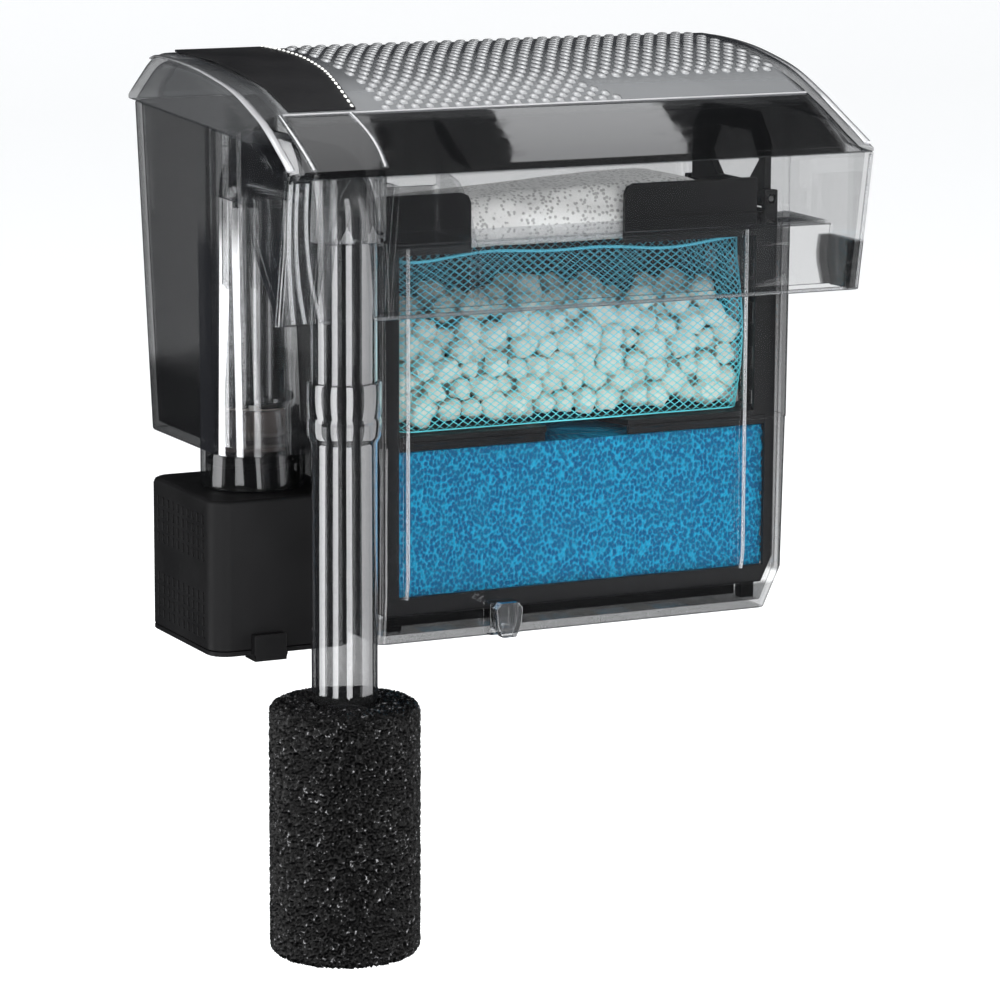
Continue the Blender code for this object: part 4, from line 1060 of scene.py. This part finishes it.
def packed_balls(low, high, radius, count, seed):
    """Ball centres that fill the box's lower part, pushed apart until they barely touch."""
    rng = np.random.default_rng(seed)
    low, high = np.array(low) + radius, np.array(high) - radius
    centres = rng.uniform(low, high, (count, 3))
    for turn in range(90):
        centres[:, 2] -= 0.35 * (1 - turn / 90)
        delta = centres[:, None, :] - centres[None, :, :]
        distance = np.linalg.norm(delta, axis=2) + 1e-6
        overlap = np.clip(2 * radius * 0.97 - distance, 0, None)
        np.fill_diagonal(overlap, 0)
        centres += 0.5 * (delta / distance[:, :, None] * overlap[:, :, None]).sum(1) * 0.6
        centres = np.clip(centres, low, high)
    return centres


def ceramic_pieces(mats):
    """Loose knobbly ceramic balls. Only those near the bag's sides and top are made."""
    low, high = box_mm("ceramic_media")
    radius = 5.1
    centres = packed_balls(low, high, radius, count=410, seed=3)
    rng = random.Random(8)
    base = bmesh.new()
    bmesh.ops.create_icosphere(base, subdivisions=3, radius=1.0)
    shape = [v.co.copy() for v in base.verts]
    shape_faces = [tuple(v.index for v in f.verts) for f in base.faces]
    base.free()
    points, faces = [], []
    for c in centres:
        middle = (low.x + 16 < c[0] < high.x - 16) and c[1] > low.y + 17 and c[1] < high.y - 12
        if middle and c[2] < high.z - 22:
            continue
        size = radius * rng.uniform(0.82, 1.26)
        squeeze = Vector([rng.uniform(0.85, 1.1) for _ in range(3)])
        turn = Matrix.Rotation(rng.uniform(0, 6.28), 3, Vector((rng.random(), rng.random(), 0.3)))
        seed = Vector([rng.uniform(0, 90) for _ in range(3)])
        start = len(points)
        for v in shape:
            swell = 1.0 + 0.34 * noise.noise(v * 1.7 + seed) + 0.13 * noise.noise(v * 4.2 + seed)
            p = turn @ (v * squeeze) * size * swell + Vector(c)
            p.x = min(max(p.x, low.x), high.x)
            p.y = min(max(p.y, low.y), high.y)
            points.append(p)
        faces.extend(tuple(start + i for i in f) for f in shape_faces)
    pieces = new_object("ceramic_pieces", points, faces, mats["ceramic"], 180.0)
    return settle(pieces, "basket", "ceramic_media", "ceramic_media")


def carbon_pouch(mats):
    """A fleece pillow, blown up by a short cloth simulation and higher at its right end."""
    low, high = box_mm("carbon_pouch")
    rise, rounding = 0.25, 8.0
    columns, rows = 48, 28
    x_low, x_high, y_low, y_high = low.x + 2.5, high.x - 2.5, low.y + 2.5, high.y - 2.5

    def spread(t):
        return 0.5 - 0.5 * math.cos(math.pi * t)

    points, faces = [], []
    for side in (0, 1):
        for j in range(rows + 1):
            for i in range(columns + 1):
                u, v = i / columns, j / rows
                x, y = x_low + (x_high - x_low) * spread(u), y_low + (y_high - y_low) * spread(v)
                inset = min(x - x_low, x_high - x, y - y_low, y_high - y)
                edge = math.sqrt(1.0 - (1.0 - min(inset / rounding, 1.0)) ** 2)
                climb = smoothstep(np.array((u - rise) / (1 - rise))).item()
                foot, top = low.z + 0.8, low.z + 16.0 + (high.z - low.z - 18.5) * climb
                middle, thick = (foot + top) / 2, (top - foot) / 2 * edge
                points.append((x, y, middle + (thick if side else -thick)))
    width = columns + 1
    count = (rows + 1) * width
    for j in range(rows):
        for i in range(columns):
            a = j * width + i
            quad = (a, a + 1, a + width + 1, a + width)
            faces.append(quad[::-1])
            faces.append(tuple(count + k for k in quad))
    pouch = new_object("carbon_pouch_fleece", points, faces, mats["fleece"], 180.0)
    modify(pouch, "REMESH", mode="VOXEL", voxel_size=3.2 * MM)
    bake_modifiers(pouch)
    coat(pouch, mats["fleece"])
    inflate(pouch, cap_mm=3.5, pressure=3.0)
    clamp_to_box(pouch, low, high)
    modify(pouch, "SUBSURF", levels=1, render_levels=1)
    bake_modifiers(pouch, 180.0)
    settle(pouch, "basket", "pouch_fleece", "carbon_pouch")
    return pouch


def get_points(mesh):
    return np.array([v.co for v in mesh.vertices])


def set_points(obj, places):
    obj.data.vertices.foreach_set("co", places.astype(np.float32).ravel())
    obj.data.update()


def inflate(obj, cap_mm, pressure):
    """Runs a short cloth simulation under pressure, with each point's travel capped."""
    scene = bpy.context.scene
    start = get_points(obj.data)
    frames = 20
    cloth = modify(obj, "CLOTH")
    settings = cloth.settings
    settings.use_pressure, settings.uniform_pressure_force = True, pressure
    settings.effector_weights.gravity = 0.0
    settings.quality, settings.mass = 6, 0.15
    settings.tension_stiffness, settings.shrink_min = 25.0, -0.05
    cloth.point_cache.frame_start, cloth.point_cache.frame_end = 1, frames
    for step in range(1, frames + 1):
        scene.frame_set(step)
    graph = bpy.context.evaluated_depsgraph_get()
    end = get_points(obj.evaluated_get(graph).data)
    obj.modifiers.remove(cloth)
    scene.frame_set(1)
    travel = end - start
    length = np.linalg.norm(travel, axis=1, keepdims=True) + 1e-9
    set_points(obj, start + travel * np.minimum(1.0, cap_mm * MM / length))


def clamp_to_box(obj, low, high):
    margin = 0.2
    lows, highs = (np.array(low) + margin) * MM, (np.array(high) - margin) * MM
    set_points(obj, np.clip(get_points(obj.data), lows, highs))


# ---- motor
def motor_vents(mats):
    """The housing with two bands of small upright recesses in its left side."""
    housing = placed("motor_housing_shell", NODES["motor_housing"].data.copy())
    coat(housing, mats["motor"])
    normals = housing.data.attributes.get("custom_normal")
    if normals is not None:
        housing.data.attributes.remove(normals)
    low, high = box_mm("motor_housing")
    weld_split_faces(housing)
    bake_modifiers(housing)
    columns, column_pitch, rows, row_pitch = 10, 5.1, 4, 4.9
    width, height, depth = 2.0, 3.4, 0.9
    places = [(low.y + 10.0 + column_pitch * column, top - row_pitch * row)
              for top in (-106.5, -137.0) for row in range(rows) for column in range(columns)]
    boolean(housing, join("vents", [box("vent", (low.x - 1.0, low.x + depth), (y, y + width), (z - height, z),
                                        mats["motor"]) for y, z in places]))
    bake_modifiers(rounded_edges(housing, 0.35))
    return settle(housing, "motor", "black_plastic", "motor_housing")


def paint_nodes(mats):
    """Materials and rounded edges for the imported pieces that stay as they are."""
    plan = {
        "filter_case": ("case", 0.45), "levelling_foot": ("foot", 0.35), "lid_label": ("label", 0.25),
        "intake_strainer": ("strainer", 0.25), "motor_bottom_cover": ("motor", 0.4),
        "stator_core": ("steel", 0.2), "coil_bobbin": ("nylon", 0.2), "coil_winding": ("copper", 0.3),
        "potting_resin": ("resin", 0.3), "cord_gland": ("gland", 0.3), "well_seal_ring": ("rubber", 0.0),
        "rotor_magnet": ("ferrite", 0.3), "impeller": ("impeller", 0.15), "rotor_shaft": ("shaft", 0.15),
        "lower_bush": ("bush", 0.15), "thrust_washer": ("washer", 0.1), "media_basket": ("black", 0.4),
        "basket_handle": ("black", 0.4), "handle_pin_front": ("pin", 0.15), "handle_pin_back": ("pin", 0.15)}
    for node, (mat, width) in plan.items():
        coat(NODES[node], mats[mat])
        if width:
            rounded_edges(NODES[node], width)


def build():
    make_camera()
    make_world()
    make_floor(CAD_BOX[0].z - FLOOR_DROP)
    mats = make_materials()
    for make in (paint_nodes, lid_shell, lid_bumps, lid_trim, label_beads, hood_trim, intake_u_tube,
                 intake_extension, prefilter_sponge, foam_block, media_net, ceramic_pieces, carbon_pouch,
                 motor_vents):
        make(mats)


def ring_light(name, angle, width, radiance):
    """A tall strip round the intake tube. angle and width are degrees as seen from the tube, and
    angle is counted to the left of the way to the camera."""
    away, height, camera_way = 1.3, 2.2, 180.0 + 63.9
    turn = math.radians(camera_way - angle)
    target = Vector((TUBE_X * MM, TUBE_Y * MM, -0.1))
    place = target + away * Vector((math.cos(turn), math.sin(turn), 0.0))
    area_light(name, place, target, 2 * away * math.tan(math.radians(width / 2)), height, radiance)


def light_scene():
    middle, down = (0.0, 0.0, -0.08), (0.0, 0.0, -1.25)
    area_light("key_overhead", (0.694, 0.54, 1.25), down, 0.135, 0.50, 1.9, spin=-10.0)
    area_light("cover_overhead", (0.49, 0.54, 1.25), down, 0.07, 0.50, 0.9, spin=-10.0)
    area_light("overhead_soft", (-0.15, 0.25, 1.3), down, 0.9, 0.7, 3.5, spin=0.0)
    ring_light("strip_left", 84.0, 26.0, 4.0)
    ring_light("strip_camera_left", 30.0, 19.0, 3.5)
    ring_light("strip_camera_right", -20.0, 20.0, 3.2)
    ring_light("strip_right_back", -92.0, 50.0, 1.8)
    fill = area_light("front_fill", (-0.45, -1.7, 0.35), middle, 1.2, 0.9, 5.1)
    back = area_light("back_fill", (0.5, 1.4, 0.7), middle, 0.8, 0.8, 2.0)
    fill.visible_glossy = back.visible_glossy = False


build()
light_scene()
bpy.context.scene.view_settings.view_transform = "Standard"
bpy.context.scene.cycles.transparent_max_bounces = 64
